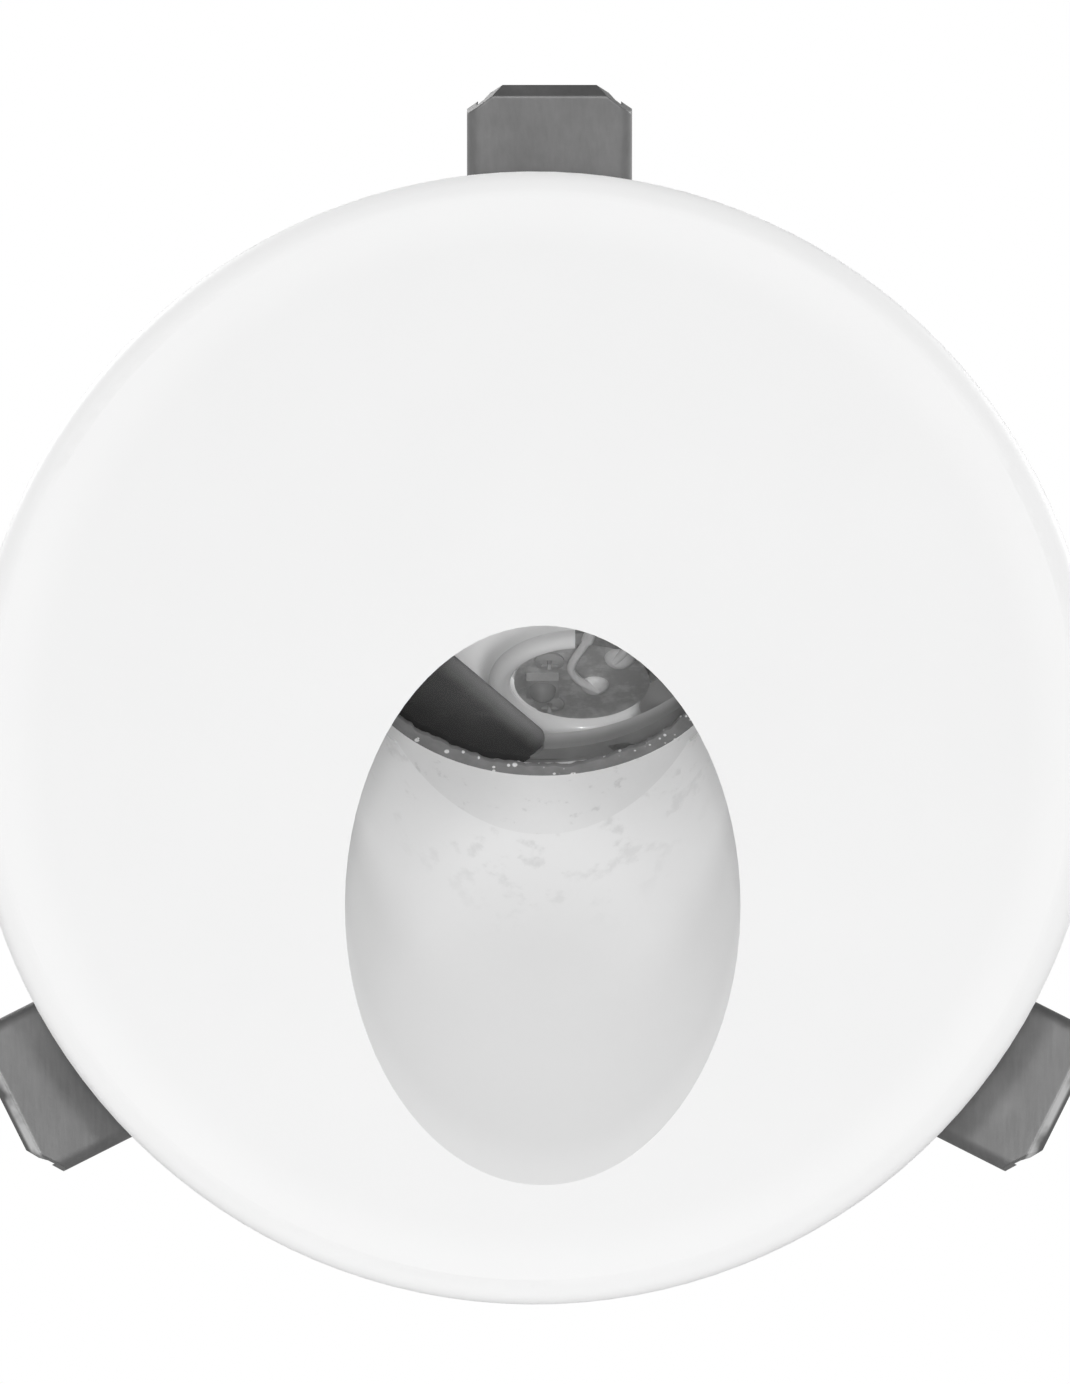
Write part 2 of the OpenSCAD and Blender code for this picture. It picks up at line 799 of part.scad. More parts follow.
module terminal_block() {
    color("#d8d8d4")
        difference() {
            translate([-terminal_w / 2, terminal_y, -terminal_drop])
                cube([terminal_w, terminal_l, terminal_h]);
            for (x = [-terminal_pole, terminal_pole]) {
                translate([x, terminal_mid_y, terminal_top - terminal_bore_l])
                    cylinder(h = terminal_bore_l + tiny, r = terminal_bore_r, $fn = small_fn);
                post(x, terminal_top - terminal_bore_l / 2, terminal_mid_y + terminal_bore_r + near,
                     far, small_screw_d / 2 + screw_fit);
                post(x, terminal_top - terminal_bore_l - terminal_outlet_drop, terminal_mid_y, far,
                     terminal_bore_r);
            }
            translate([0, terminal_mid_y, 0])
                cylinder(h = far, r = small_screw_d / 2 + screw_fit, center = true, $fn = small_fn);
        }
}

module terminal_screws() {
    clamp_l = terminal_l / 2 - terminal_bore_r - 2 * near;
    color(screw_grey) {
        for (x = [-terminal_pole, terminal_pole])
            translate([x, terminal_y + terminal_l, terminal_top - terminal_bore_l / 2])
                rotate([-90, 0, 0]) screw(small_screw_d, clamp_l);
        translate([0, terminal_mid_y, terminal_top])
            screw(small_screw_d, terminal_h + frame_plate_t - near);
    }
}

module joint_gasket() {
    color(rubber_dark) slab(joint_y, seam_y) body_ring(joint_gasket_w);
}

// Upright cooling fins on the rear wall, cut away round the gland and the screw heads.
module fins() {
    count = floor((body_r - fin_inset) / fin_pitch);
    difference() {
        slab(rear_y - tiny, rear_y + fin_h)
            intersection() {
                body_outline(fin_inset);
                for (i = [-count : count])
                    translate([i * fin_pitch - fin_t / 2, -body_r]) square([fin_t, body_d]);
            }
        post(0, -gland_drop, 0, far, hex_r + gland_tool_gap);
        at_housing_screws() post(0, 0, 0, far, housing_screw_d * head_wide + head_tool_gap);
        for (x = [-carrier_screw_x, carrier_screw_x])
            post(led_x + x, carrier_screw_z, 0, far, carrier_screw_d * head_wide + head_tool_gap);
    }
}

module rear_housing() {
    color("#9c9ea0")
        difference() {
            union() {
                slab(seam_y, rear_y) body_ring(body_wall);
                slab(inner_rear_y, rear_y) body_outline(0);
                slab(seam_y, rear_y - tiny) housing_boss_outline(0);
                fins();
            }
            at_housing_screws() {
                post(0, 0, 0, far, housing_screw_d / 2 + screw_fit);
                post(0, 0, rear_y - housing_sink, far, housing_screw_d * head_wide + screw_fit);
            }
            post(0, -gland_drop, 0, far, gland_hole_r);
            for (x = [-carrier_screw_x, carrier_screw_x])
                post(led_x + x, carrier_screw_z, 0, far, carrier_screw_d / 2 + screw_fit);
        }
}

module housing_screws() {
    shank = rear_y - housing_sink - joint_y + housing_thread_l - near;
    color(screw_grey)
        at_housing_screws()
            translate([0, rear_y - housing_sink, 0]) rotate([-90, 0, 0]) screw(housing_screw_d, shank);
}

module gland_body() {
    color(plastic_dark)
        difference() {
            union() {
                post(0, -gland_drop, gland_start_y, gland_end_y, gland_thread_d / 2);
                slab(rear_y, rear_y + gland_hex_h) translate([0, -gland_drop]) hexagon(gland_af);
            }
            post(0, -gland_drop, 0, far, cord_way_r);
            post(0, -gland_drop, seal_y, far, gland_bore_d / 2);
        }
}

module gland_locknut() {
    color(plastic_dark)
        difference() {
            slab(inner_rear_y - locknut_h, inner_rear_y) translate([0, -gland_drop]) hexagon(gland_af);
            post(0, -gland_drop, 0, far, gland_thread_d / 2 + thread_fit);
        }
}

module gland_seal() {
    color(rubber_dark)
        difference() {
            post(0, -gland_drop, seal_y, seal_end_y, gland_bore_d / 2 - thread_fit);
            post(0, -gland_drop, 0, far, cord_d / 2);
        }
}

module gland_nut() {
    start = rear_y + gland_hex_h + near;
    color(plastic_dark)
        difference() {
            union() {
                slab(start, gland_end_y) translate([0, -gland_drop]) hexagon(gland_af);
                translate([0, gland_end_y - tiny, -gland_drop])
                    rotate([-90, 0, 0])
                        cylinder(h = gland_dome_h, r1 = gland_af / 2, r2 = dome_end_r);
            }
            post(0, -gland_drop, 0, seal_end_y + thread_fit, gland_thread_d / 2 + thread_fit);
            post(0, -gland_drop, 0, far, cord_way_r);
        }
}

// Pressed-steel bracket: a base under the pin, two ears that hold it and a tab that stops the arm.
module bracket(i) {
    color(steel_grey)
        at_clip(i)
            difference() {
                union() {
                    translate([-bracket_w / 2, stop_y - sheet, -pin_lift])
                        cube([bracket_w, bracket_tail + sheet - stop_y, sheet]);
                    for (x = [-bracket_w / 2, bracket_w / 2 - sheet])
                        translate([x, 0, 0])
                            rotate([90, 0, 90])
                                linear_extrude(sheet) {
                                    circle(r = ear_r, $fn = small_fn);
                                    translate([-ear_r, -pin_lift]) square([2 * ear_r, pin_lift]);
                                }
                    translate([-stop_w / 2, stop_y - sheet, -pin_lift])
                        cube([stop_w, sheet, pin_lift + stop_h]);
                }
                rotate([0, 90, 0]) cylinder(h = far, r = pin_hole_r, center = true, $fn = small_fn);
                translate([0, clip_screw_y, 0])
                    cylinder(h = far, r = clip_screw_d / 2 + screw_fit, center = true, $fn = small_fn);
            }
}

module hinge_pin(i) {
    reach = arm_w / 2 + stop_gap;
    color(screw_grey)
        at_clip(i)
            rotate([0, 90, 0]) {
                cylinder(h = 2 * reach + tiny, d = pin_d, center = true, $fn = small_fn);
                translate([0, 0, reach]) cylinder(h = pin_head_t, d = pin_head_d, $fn = small_fn);
                translate([0, 0, -reach - pin_head_t])
                    cylinder(h = pin_head_t, d = pin_head_d, $fn = small_fn);
            }
}

// Side view (y, z) of an arm's sheet, from near the pin to the end of its bent tip.
module arm_strip() {
    lip = [sin(tip_bend), cos(tip_bend)];
    bend = [-arm_front, arm_l];
    inner = [sheet - arm_front, arm_l - sheet * tan(tip_bend / 2)];
    polygon([
        [-arm_front, arm_root],
        bend,
        bend + tip_l * lip,
        bend + tip_l * lip + sheet * [lip[1], -lip[0]],
        inner,
        [sheet - arm_front, arm_root],
    ]);
}

// Side view (y, z) of an arm's side flange, with its round lug at the pin.
module arm_cheek() {
    circle(r = lug_r, $fn = small_fn);
    polygon([
        [-arm_front, arm_root],
        [-arm_front, arm_l],
        [flange_tip - arm_front, arm_l],
        [flange_depth - arm_front, arm_l / 2],
        [flange_depth - arm_front, 0],
        [-lug_r, 0],
    ]);
}

// Front view (x, z) of an arm, with its tip's corners cut.
module arm_outline() {
    half = arm_w / 2;
    polygon([
        [-half, -2 * lug_r],
        [half, -2 * lug_r],
        [half, tip_top - tip_cut_l],
        [half - tip_cut_w, tip_top + tiny],
        [tip_cut_w - half, tip_top + tiny],
        [-half, tip_top - tip_cut_l],
    ]);
}

module arm(i) {
    half = arm_w / 2;
    color(steel_grey)
        at_clip(i)
            rotate([arm_lean, 0, 0])
                difference() {
                    intersection() {
                        union() {
                            translate([-half, 0, 0])
                                rotate([90, 0, 90]) linear_extrude(arm_w) arm_strip();
                            for (x = [-half, half - sheet])
                                translate([x, 0, 0])
                                    rotate([90, 0, 90]) linear_extrude(sheet) arm_cheek();
                        }
                        translate([0, 2 * arm_front, 0])
                            rotate([90, 0, 0]) linear_extrude(4 * arm_front) arm_outline();
                    }
                    for (side = [-1, 1])
                        translate([side * (half - bend_r), bend_r - arm_front, -lug_r])
                            linear_extrude(far)
                                difference() {
                                    translate([side > 0 ? 0 : -2 * bend_r, -2 * bend_r])
                                        square(2 * bend_r);
                                    circle(r = bend_r, $fn = small_fn);
                                }
                    rotate([0, 90, 0]) cylinder(h = far, r = pin_hole_r, center = true, $fn = small_fn);
                }
}

// A spring's ring: its centre and two directions square to the wire, at angle a round the pin.
// The angle is counted from the front, outwards, and the wire runs on as it grows.
function coil_ring(a, centre) =
    let(
        out = [0, -cos(a), sin(a)],
        rise = coil_pitch / (2 * PI * coil_r),
        along = [rise, sin(a), cos(a)] / norm([rise, 1])
    )
    [centre, out, cross(along, out)];

function coil_centre(a) = [
    coil_pitch * (a - coil_start) / 360 - coil_half,
    -coil_r * cos(a),
    coil_r * sin(a),
];

function coil_way(a) = [0, sin(a), cos(a)];

// Rings of the whole spring: the leg on the bracket, the coil and the leg on the arm.
spring_rings = [
    for (s = [leg_steps : -1 : 1])
        coil_ring(coil_start, coil_centre(coil_start) - coil_way(coil_start) * leg_base_l * s / leg_steps),
    for (k = [0 : coil_steps])
        let(a = coil_start + coil_sweep * k / coil_steps) coil_ring(a, coil_centre(a)),
    for (s = [1 : leg_steps])
        coil_ring(coil_end, coil_centre(coil_end) + coil_way(coil_end) * leg_arm_l * s / leg_steps),
];

spring_gap = min([
    for (i = [0 : len(spring_rings) - 1])
        for (j = [i + coil_rings / 2 : 1 : len(spring_rings) - 1])
            norm(spring_rings[i][0] - spring_rings[j][0]) - wire_d
]);
echo("least gap of a torsion spring to itself, mm:", spring_gap);

module torsion_spring(i) {
    color("#a9abad") at_clip(i) wire(spring_rings, wire_d, wire_sides);
}

module clip_screws() {
    color(screw_grey)
        for (i = [TOP, LEFT, RIGHT])
            at_clip(i) translate([0, clip_screw_y, base_top]) screw(clip_screw_d, clip_screw_l);
}

front_casting();
lens_frame();
frame_screws();
lens_gasket();
lens_glass();
lens_baffle();
lens_clamp_ring();
reflector();
led_emitter();
emitter_dome();
led_board();
board_screws();
thermal_pad();
led_carrier();
carrier_screws();
lead_plus();
lead_minus();
terminal_block();
terminal_screws();
joint_gasket();
rear_housing();
housing_screws();
gland_body();
gland_locknut();
gland_seal();
gland_nut();
bracket(TOP);  // bracket_top
bracket(LEFT);  // bracket_left
bracket(RIGHT);  // bracket_right
hinge_pin(TOP);  // pin_top
hinge_pin(LEFT);  // pin_left
hinge_pin(RIGHT);  // pin_right
torsion_spring(TOP);  // spring_top
torsion_spring(LEFT);  // spring_left
torsion_spring(RIGHT);  // spring_right
arm(TOP);  // arm_top
arm(LEFT);  // arm_left
arm(RIGHT);  // arm_right
clip_screws();
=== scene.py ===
"""Looks of a recessed step light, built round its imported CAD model.

Shapes are worked out in millimetres and stored in metres, in the model's own frame: the origin is the
centre of the flange's back face, +Y goes into the wall and +Z is up.
"""

import json

import bmesh
import bpy
import numpy as np
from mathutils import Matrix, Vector

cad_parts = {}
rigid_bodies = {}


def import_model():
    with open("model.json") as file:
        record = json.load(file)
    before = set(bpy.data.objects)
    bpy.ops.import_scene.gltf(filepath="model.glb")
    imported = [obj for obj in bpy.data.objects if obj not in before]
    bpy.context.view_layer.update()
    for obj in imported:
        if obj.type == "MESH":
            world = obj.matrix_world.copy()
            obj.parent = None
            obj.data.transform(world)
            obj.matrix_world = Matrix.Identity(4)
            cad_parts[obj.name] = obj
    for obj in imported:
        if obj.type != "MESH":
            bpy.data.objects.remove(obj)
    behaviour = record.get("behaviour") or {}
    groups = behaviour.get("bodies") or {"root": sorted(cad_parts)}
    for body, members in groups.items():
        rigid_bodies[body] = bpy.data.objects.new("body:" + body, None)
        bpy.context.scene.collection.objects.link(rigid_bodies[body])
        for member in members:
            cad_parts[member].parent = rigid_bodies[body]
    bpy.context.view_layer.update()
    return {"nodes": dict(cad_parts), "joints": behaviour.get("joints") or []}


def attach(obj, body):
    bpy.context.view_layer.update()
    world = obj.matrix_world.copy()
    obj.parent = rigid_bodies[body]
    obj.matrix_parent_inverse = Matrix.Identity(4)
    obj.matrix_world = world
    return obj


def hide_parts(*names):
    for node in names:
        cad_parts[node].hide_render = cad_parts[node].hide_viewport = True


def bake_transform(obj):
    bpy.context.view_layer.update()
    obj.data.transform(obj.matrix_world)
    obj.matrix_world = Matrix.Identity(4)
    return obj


for leftover in list(bpy.data.objects):
    bpy.data.objects.remove(leftover)
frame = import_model()

# Front casting
# One die casting in aluminium: round face plate, tilted bore wall and the skirt that goes into the wall.
# It is powder coated off-white, with a painted highlight on the rim, painted shade in the opening, and
# painted light again deep in the bore and at its deep sides.

MM = 0.001


class Value:
    """A socket of a material's nodes. Arithmetic with numbers and other values adds Math nodes."""

    def __init__(self, finish, socket):
        self.finish, self.socket = finish, socket

    def math(self, operation, *terms):
        return self.finish.add("ShaderNodeMath", {"operation": operation}, dict(enumerate(terms)))

    def __add__(self, other):
        return self.math("ADD", self, other)

    def __sub__(self, other):
        return self.math("SUBTRACT", self, other)

    def __rsub__(self, other):
        return self.math("SUBTRACT", other, self)

    def __mul__(self, other):
        return self.math("MULTIPLY", self, other)

    def __pow__(self, other):
        return self.math("POWER", self, other)

    def at_least(self, other):
        return self.math("MAXIMUM", self, other)

    def at_most(self, other):
        return self.math("MINIMUM", self, other)

    __radd__, __rmul__ = __add__, __mul__


class Finish:
    """A procedural material on Object coordinates, which are metres in the model's frame."""

    def __init__(self, name):
        self.material = bpy.data.materials.new(name)
        self.material.use_nodes = True
        self.tree = self.material.node_tree
        self.tree.nodes.clear()
        self.place = self.add("ShaderNodeTexCoord", output="Object")

    def add(self, kind, settings=(), inputs=(), output=0):
        """Adds a node: its settings first, then the numbers or links of its sockets. Gives one output."""
        node = self.tree.nodes.new(kind)
        for name, value in dict(settings).items():
            setattr(node, name, value)
        for name, value in dict(inputs).items():
            if isinstance(value, Value):
                self.tree.links.new(value.socket, node.inputs[name])
            else:
                node.inputs[name].default_value = value
        return Value(self, node.outputs[output]) if node.outputs else None

    def noise(self, scale, detail=2.0, rough=0.5, at=None):
        """Soft noise round 0.5, with scale features a metre."""
        sockets = {"Vector": at or self.place, "Scale": scale, "Detail": detail, "Roughness": rough}
        return self.add("ShaderNodeTexNoise", {}, sockets, "Fac")

    def smooth(self, value, low, high):
        """0 below low, 1 above high and a smooth step between them."""
        sockets = {"Value": value, "From Min": low, "From Max": high}
        return self.add("ShaderNodeMapRange", {"interpolation_type": "SMOOTHSTEP"}, sockets)

    def axes(self):
        """The place's x, y and z as three values."""
        split = self.add("ShaderNodeSeparateXYZ", {}, {0: self.place})
        return [Value(self, split.socket.node.outputs[k]) for k in range(3)]

    def speckle(self, scale, size, share):
        """Round specks: 1 within size of the middle of the given share of cells, scale cells a metre."""
        cells = {"Vector": self.place, "Scale": scale}
        far = self.add("ShaderNodeTexVoronoi", {}, cells, "Distance")
        colour = self.add("ShaderNodeTexVoronoi", {}, cells, "Color")
        pick = self.smooth(self.add("ShaderNodeSeparateXYZ", {}, {0: colour}), 1 - share, 1.02 - share)
        return (1 - self.smooth(far, size * scale * 0.6, size * scale)) * pick

    def along(self, way, start=(0, 0, 0)):
        """How far the place lies from start along a unit way: their difference's dot product with it."""
        sockets = {0: self.place, 1: np.asarray(way, float).tolist()}
        reach = self.add("ShaderNodeVectorMath", {"operation": "DOT_PRODUCT"}, sockets, "Value")
        return reach - float(np.dot(way, start)) * MM

    def bump(self, height, distance, strength=1.0, edge=0.0):
        """Bump from a height of 0 to 1, where 1 stands for distance. Edges are softened by edge."""
        sockets = {"Height": height, "Distance": distance * MM, "Strength": strength}
        if edge:
            sockets["Normal"] = self.add("ShaderNodeBevel", {"samples": 6}, {"Radius": edge * MM})
        return self.add("ShaderNodeBump", {}, sockets)

    def done(self, **sockets):
        """Ends the material in a Principled shader. An underscore in a socket's name stands for a space."""
        named = {name.replace("_", " "): value for name, value in sockets.items()}
        shader = self.add("ShaderNodeBsdfPrincipled", {}, named)
        self.add("ShaderNodeOutputMaterial", {}, {"Surface": shader})
        return self.material


def dress(material, *nodes):
    """Gives CAD nodes their finish."""
    for node in nodes:
        for slot in frame["nodes"][node].material_slots:
            slot.material = material


BORE_X, BORE_R = 0.6, 14.3


def powder_coat():
    """Painted highlight on the rim, painted light near the seam and deep at the bore's sides, and painted
    shade in the opening.

    Deep at the sides the painted light goes by (distance beside the bore's middle / its radius)^2.
    """
    coat = Finish("powder coat")
    x, depth, z = coat.axes()
    reach = (x * x + z * z) ** 0.5
    # painted highlight: the rim is paler, as a rounded rim lit from above looks
    rim = coat.smooth(reach, 35 * MM, 38.5 * MM) * 0.025 + coat.smooth(reach, 39 * MM, 40.8 * MM) * 0.065
    # painted shade: the opening is darker
    inside = coat.smooth(depth, -3.2 * MM, 0.0) * (1 - coat.smooth(reach, 36 * MM, 37 * MM))
    # painted light deep in the bore near the seam; this mask also places the streaks
    near_seam = coat.smooth(depth, 12 * MM, 21.5 * MM)
    # painted light: paler at the bore's deep sides, against the shade that falls there
    beside = (x - BORE_X * MM) * (1 / (BORE_R * MM))
    deep_side = beside * beside * coat.smooth(depth, 6 * MM, 14.5 * MM)
    cloud = coat.noise(90, 3) - 0.5
    pits = coat.speckle(70, 0.28 * MM, 0.12)
    streaks = coat.smooth(coat.noise(420, 5, 0.62), 0.53, 0.66) * near_seam
    # this tone holds the painted highlight, painted shade and painted light above
    tone_with_painted_light = 0.88 + rim - inside * 0.05 + near_seam * 0.09 + deep_side * 0.24 + cloud * 0.02
    grain = coat.noise(1500, 2) * 0.7 + coat.noise(5200, 1) * 0.3
    return coat.done(
        Base_Color=tone_with_painted_light.at_most(0.96) - streaks * 0.11 - pits * 0.22,
        Roughness=0.5 + cloud * 0.1 + inside * 0.1,
        Diffuse_Roughness=0.5,
        Sheen_Weight=0.12,
        Sheen_Roughness=0.5,
        Normal=coat.bump(grain, 0.02, 0.5),
    )


dress(powder_coat(), "front_casting")

# Lens frame
# Second piece of the bore's wall, screwed to the casting's back. Its front edge is the seam in the bore,
# and its tilted socket holds the lens. It is painted to match, with some rub marks from fitting.


def frame_paint():
    paint = Finish("lens frame paint")
    cloud = paint.noise(260, 4, 0.6) - 0.5
    marks = paint.smooth(paint.noise(900, 4, 0.6), 0.60, 0.72)
    return paint.done(
        Base_Color=0.88 + cloud * 0.06 - marks * 0.12,
        Diffuse_Roughness=0.5,
        Roughness=0.5 + cloud * 0.2,
        Normal=paint.bump(paint.noise(2200, 3), 0.03, 0.5),
    )


dress(frame_paint(), "lens_frame")

# Lens gasket
# A bead of grey sealing compound between the seat and the glass. It is pressed out unevenly at its inner
# edge and holds bright metal flakes.

FACE_Y, BORE_Z = -3.5, -12.1
BORE_WAY = np.array([0, 0.5**0.5, 0.5**0.5])
LENS_DEPTH = 27.4
LENS_CENTRE = np.array([BORE_X, FACE_Y, BORE_Z]) + LENS_DEPTH * BORE_WAY
BEAD_R = 13.35


def turned(points, centre, along, side):
    """Points given beside an axis, placed in the model: z along the axis, x along the side vector."""
    z = np.asarray(along, float) / np.linalg.norm(along)
    x = np.asarray(side, float) - z * np.dot(side, z)
    x /= np.linalg.norm(x)
    return np.asarray(centre, float) + points @ np.array([x, np.cross(z, x), z])


def on_bore(points):
    """Places points beside the light bore: z runs along it from the front of the lens gasket."""
    return turned(points, LENS_CENTRE, BORE_WAY, [1, 0, 0])


def piece(name, grids, material, body="housing", replaces=()):
    """Makes a mesh of grids of points in millimetres, each given as (points, closes in u, closes in v).

    Each cell of a grid is one quad. Points that meet are merged, and edges over 35 degrees stay sharp.
    """
    verts, faces, start = [], [], 0
    for points, wrap_u, wrap_v in grids:
        rows, cols = points.shape[:2]
        u = np.arange(rows if wrap_u else rows - 1)[:, None]
        v = np.arange(cols if wrap_v else cols - 1)[None, :]
        corners = [(u, v), (u + 1, v), (u + 1, v + 1), (u, v + 1)]
        quad = [(start + (a % rows) * cols + b % cols) + 0 * (u + v) for a, b in corners]
        faces.append(np.stack([q.ravel() for q in quad], axis=1))
        verts.append(points.reshape(-1, 3))
        start += rows * cols
    mesh = bpy.data.meshes.new(name)
    mesh.from_pydata((np.concatenate(verts) * MM).tolist(), [], np.concatenate(faces).tolist())
    work = bmesh.new()
    work.from_mesh(mesh)
    bmesh.ops.remove_doubles(work, verts=work.verts, dist=1e-7)
    bmesh.ops.recalc_face_normals(work, faces=work.faces)
    work.to_mesh(mesh)
    work.free()
    mesh.materials.append(material)
    mesh.shade_smooth()
    mesh.set_sharp_from_angle(angle=np.radians(35))
    made = bpy.data.objects.new(name, mesh)
    bpy.context.scene.collection.objects.link(made)
    if body:
        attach(made, body)
    if replaces:
        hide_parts(*replaces)
    return made


def turns(steps):
    """Angles of a full turn, in radians."""
    return np.linspace(0, 2 * np.pi, steps, endpoint=False)


def revolved(profile, steps):
    """A profile of (radius, height) points turned round the z axis."""
    r, z = np.asarray(profile, float).T
    a = turns(steps)[:, None]
    return np.stack([r * np.cos(a), r * np.sin(a), z + 0 * a], axis=2)


def bead():
    """A ring with a strip's section. Its rounded inner edge wanders by a sum of sines."""
    a = turns(480)[:, None]
    waves = [(5, 0.4, 0.10), (13, 2.1, 0.07), (29, 4.0, 0.06), (57, 1.2, 0.05), (101, 3.3, 0.035)]
    wander = sum(np.sin(count * a + start) * size for count, start, size in waves)
    flat_part = np.array([15.3, 14.0, 0, 0, 0, 0, 0, 14.0, 15.3])
    rounding = np.array([0, 0, 0.25, 0.06, 0, 0.05, 0.22, 0, 0])
    height = np.array([0, 0, 0.02, 0.12, 0.3, 0.48, 0.58, 0.6, 0.6])
    r = np.where(flat_part > 0, flat_part, BEAD_R + wander + rounding)
    return np.stack([r * np.cos(a), r * np.sin(a), height + 0 * a], axis=2)


def compound():
    grey = Finish("lens compound")
    flakes = grey.speckle(1400, 0.24 * MM, 0.12) + grey.speckle(2700, 0.15 * MM, 0.16)
    tone = 0.215 + (grey.noise(700, 3) - 0.5) * 0.14 + flakes * 0.6
    return grey.done(
        Base_Color=tone.at_most(0.85),
        Roughness=0.5 - flakes * 0.12,
        Metallic=flakes * 0.3,
        Normal=grey.bump(grey.noise(1800, 3), 0.08, 0.8),
    )


piece(
    "lens_bead", [(on_bore(bead()), True, True)], compound(),
    replaces=["lens_gasket"],
)

# Lens glass
# A round plate of clear glass with ground edges, held between the gasket and the clamp ring.


def clear_glass():
    glass = Finish("lens glass")
    dust = glass.smooth(glass.noise(650, 4, 0.6), 0.62, 0.8)
    gloss = glass.add("ShaderNodeBsdfGlossy", {}, {"Color": (1, 1, 1, 1), "Roughness": 0.03})
    clear = glass.add("ShaderNodeBsdfTransparent", {}, {"Color": (0.97, 0.97, 0.97, 1)})
    haze = glass.add("ShaderNodeBsdfDiffuse", {}, {"Color": (0.7, 0.7, 0.7, 1)})
    shine = glass.add("ShaderNodeFresnel", {}, {"IOR": 1.45})
    front = 1 - glass.add("ShaderNodeNewGeometry", output="Backfacing")
    plain = glass.add("ShaderNodeMixShader", {}, {0: shine * front * 0.5, 1: clear, 2: gloss})
    both = glass.add("ShaderNodeMixShader", {}, {0: dust * 0.05, 1: plain, 2: haze})
    glass.add("ShaderNodeOutputMaterial", {}, {"Surface": both})
    return glass.material


dress(clear_glass(), "lens_glass")

# Lens baffle
# A black segment between the glass and the clamp ring, at the lower left: a dark sheet that stands in for
# the shade behind the lens there, as painted shade. Its inner edge and its end are rounded towards the
# back.

BAFFLE_FRONT, BAFFLE_BACK = 2.36, 2.86
BAFFLE_IN, BAFFLE_START, BAFFLE_REACH = 7.95, -13.2, 9.1
CORNER_R = 1.7
ROUNDED_W, ROUNDED_H = 1.5, 0.45
BAFFLE_TURN = np.radians(140)
POCKET_R = 15.35


def baffle():
    """In the lens's plane, t runs beside the straight edge and s across, from it to the pocket's circle.

    The front bends back by a quarter ellipse: ROUNDED_H (1 - sqrt(1 - (1 - k)^2)), where k is the way in
    from the straight edge and its round corner over ROUNDED_W.
    """
    corner = BAFFLE_REACH + CORNER_R * np.sin(np.linspace(0, np.pi / 2, 24))
    t = np.concatenate([np.linspace(BAFFLE_START, BAFFLE_REACH - 0.2, 60), corner])
    over = np.clip(t - BAFFLE_REACH, 0, CORNER_R)
    inner = BAFFLE_IN + CORNER_R - np.sqrt(CORNER_R**2 - over**2)
    outer = np.sqrt(POCKET_R**2 - t**2)
    s = np.linspace(0, 1, 40)[None, :] ** 1.5
    across = inner[:, None] + (outer - inner)[:, None] * s
    along = t[:, None] + 0 * s
    past = across - BAFFLE_IN - CORNER_R
    from_corner = CORNER_R - np.hypot(np.minimum(past, 0), over[:, None]) + 1.5 * np.maximum(past, 0)
    way_in = np.where(along > BAFFLE_REACH, from_corner, across - BAFFLE_IN)
    k = np.clip(way_in / ROUNDED_W, 0, 1)
    front = BAFFLE_FRONT + ROUNDED_H * (1 - np.sqrt(1 - (1 - k) ** 2))
    back = BAFFLE_BACK + 0 * front
    side = [np.stack([across, along, height], axis=2) for height in (front, back)]
    c, n = np.cos(BAFFLE_TURN), np.sin(BAFFLE_TURN)
    turn = np.array([[c, n, 0], [n, -c, 0], [0, 0, 1]])
    return np.concatenate([side[0], side[1][:, ::-1]], axis=1) @ turn


def gloss_black():
    """Black, for painted shade, and greyer towards the straight edge as a painted highlight: across is how
    far in from the lens's middle.
    """
    black = Finish("black shade sheet")
    way_in = on_bore(np.array([np.cos(BAFFLE_TURN), np.sin(BAFFLE_TURN), 0])) - LENS_CENTRE
    across = black.along(way_in, LENS_CENTRE) + black.noise(300, 3) * (0.6 * MM)
    # painted highlight: greyer towards the rounded straight edge, where it would catch light
    edge_highlight = 1 - black.smooth(across, BAFFLE_IN * MM, (BAFFLE_IN + 2.2) * MM)
    return black.done(
        Base_Color=0.034 + black.noise(320, 1) * 0.036 + edge_highlight * 0.22,
        Roughness=0.26 + black.noise(300, 1) * 0.14,
    )


# painted shade: a dark sheet put where the lens shows shade
rows = baffle()
ends = [np.repeat(row.mean(0)[None, None], len(row), axis=1) for row in (rows[0], rows[-1])]
segment = on_bore(np.concatenate([ends[0], rows, ends[1]]))
piece(
    "lens_shade_sheet", [(segment, False, True)], gloss_black(),
    replaces=["lens_baffle"],
)

# Lens clamp ring
# A thin turned ring of grey metal in the socket, behind the glass and the baffle. Its inner wall is lighter
# in colour towards the back.


def dull_metal():
    metal = Finish("dull grey metal")
    depth = metal.along(BORE_WAY, LENS_CENTRE) + metal.noise(260, 3) * (0.6 * MM)
    # lighter in colour towards the back of the inner wall
    lighter_back = metal.smooth(depth, 3.1 * MM, 4.4 * MM)
    return metal.done(
        Base_Color=0.36 + (metal.noise(300, 3) - 0.5) * 0.14 + lighter_back * 0.34,
        Metallic=0.2,
        Roughness=0.55 + metal.noise(900, 2) * 0.1,
        Normal=metal.bump(metal.noise(2500, 2), 0.02, 0.5),
    )


dress(dull_metal(), "lens_clamp_ring")

# Reflector
# A cup of pale moulded plastic with a rounded lip and a satin coat. It glows with painted light, most on
# its flank away from the mouth. Its right side is darker, and its painted glow fades there. The LED board
# lies in its mouth.

LED_CENTRE = np.array([3.5, 30.6, 4.0])
LED_AIM = np.radians(57)
LED_DOWN = np.array([0, -np.cos(LED_AIM), -np.sin(LED_AIM)])


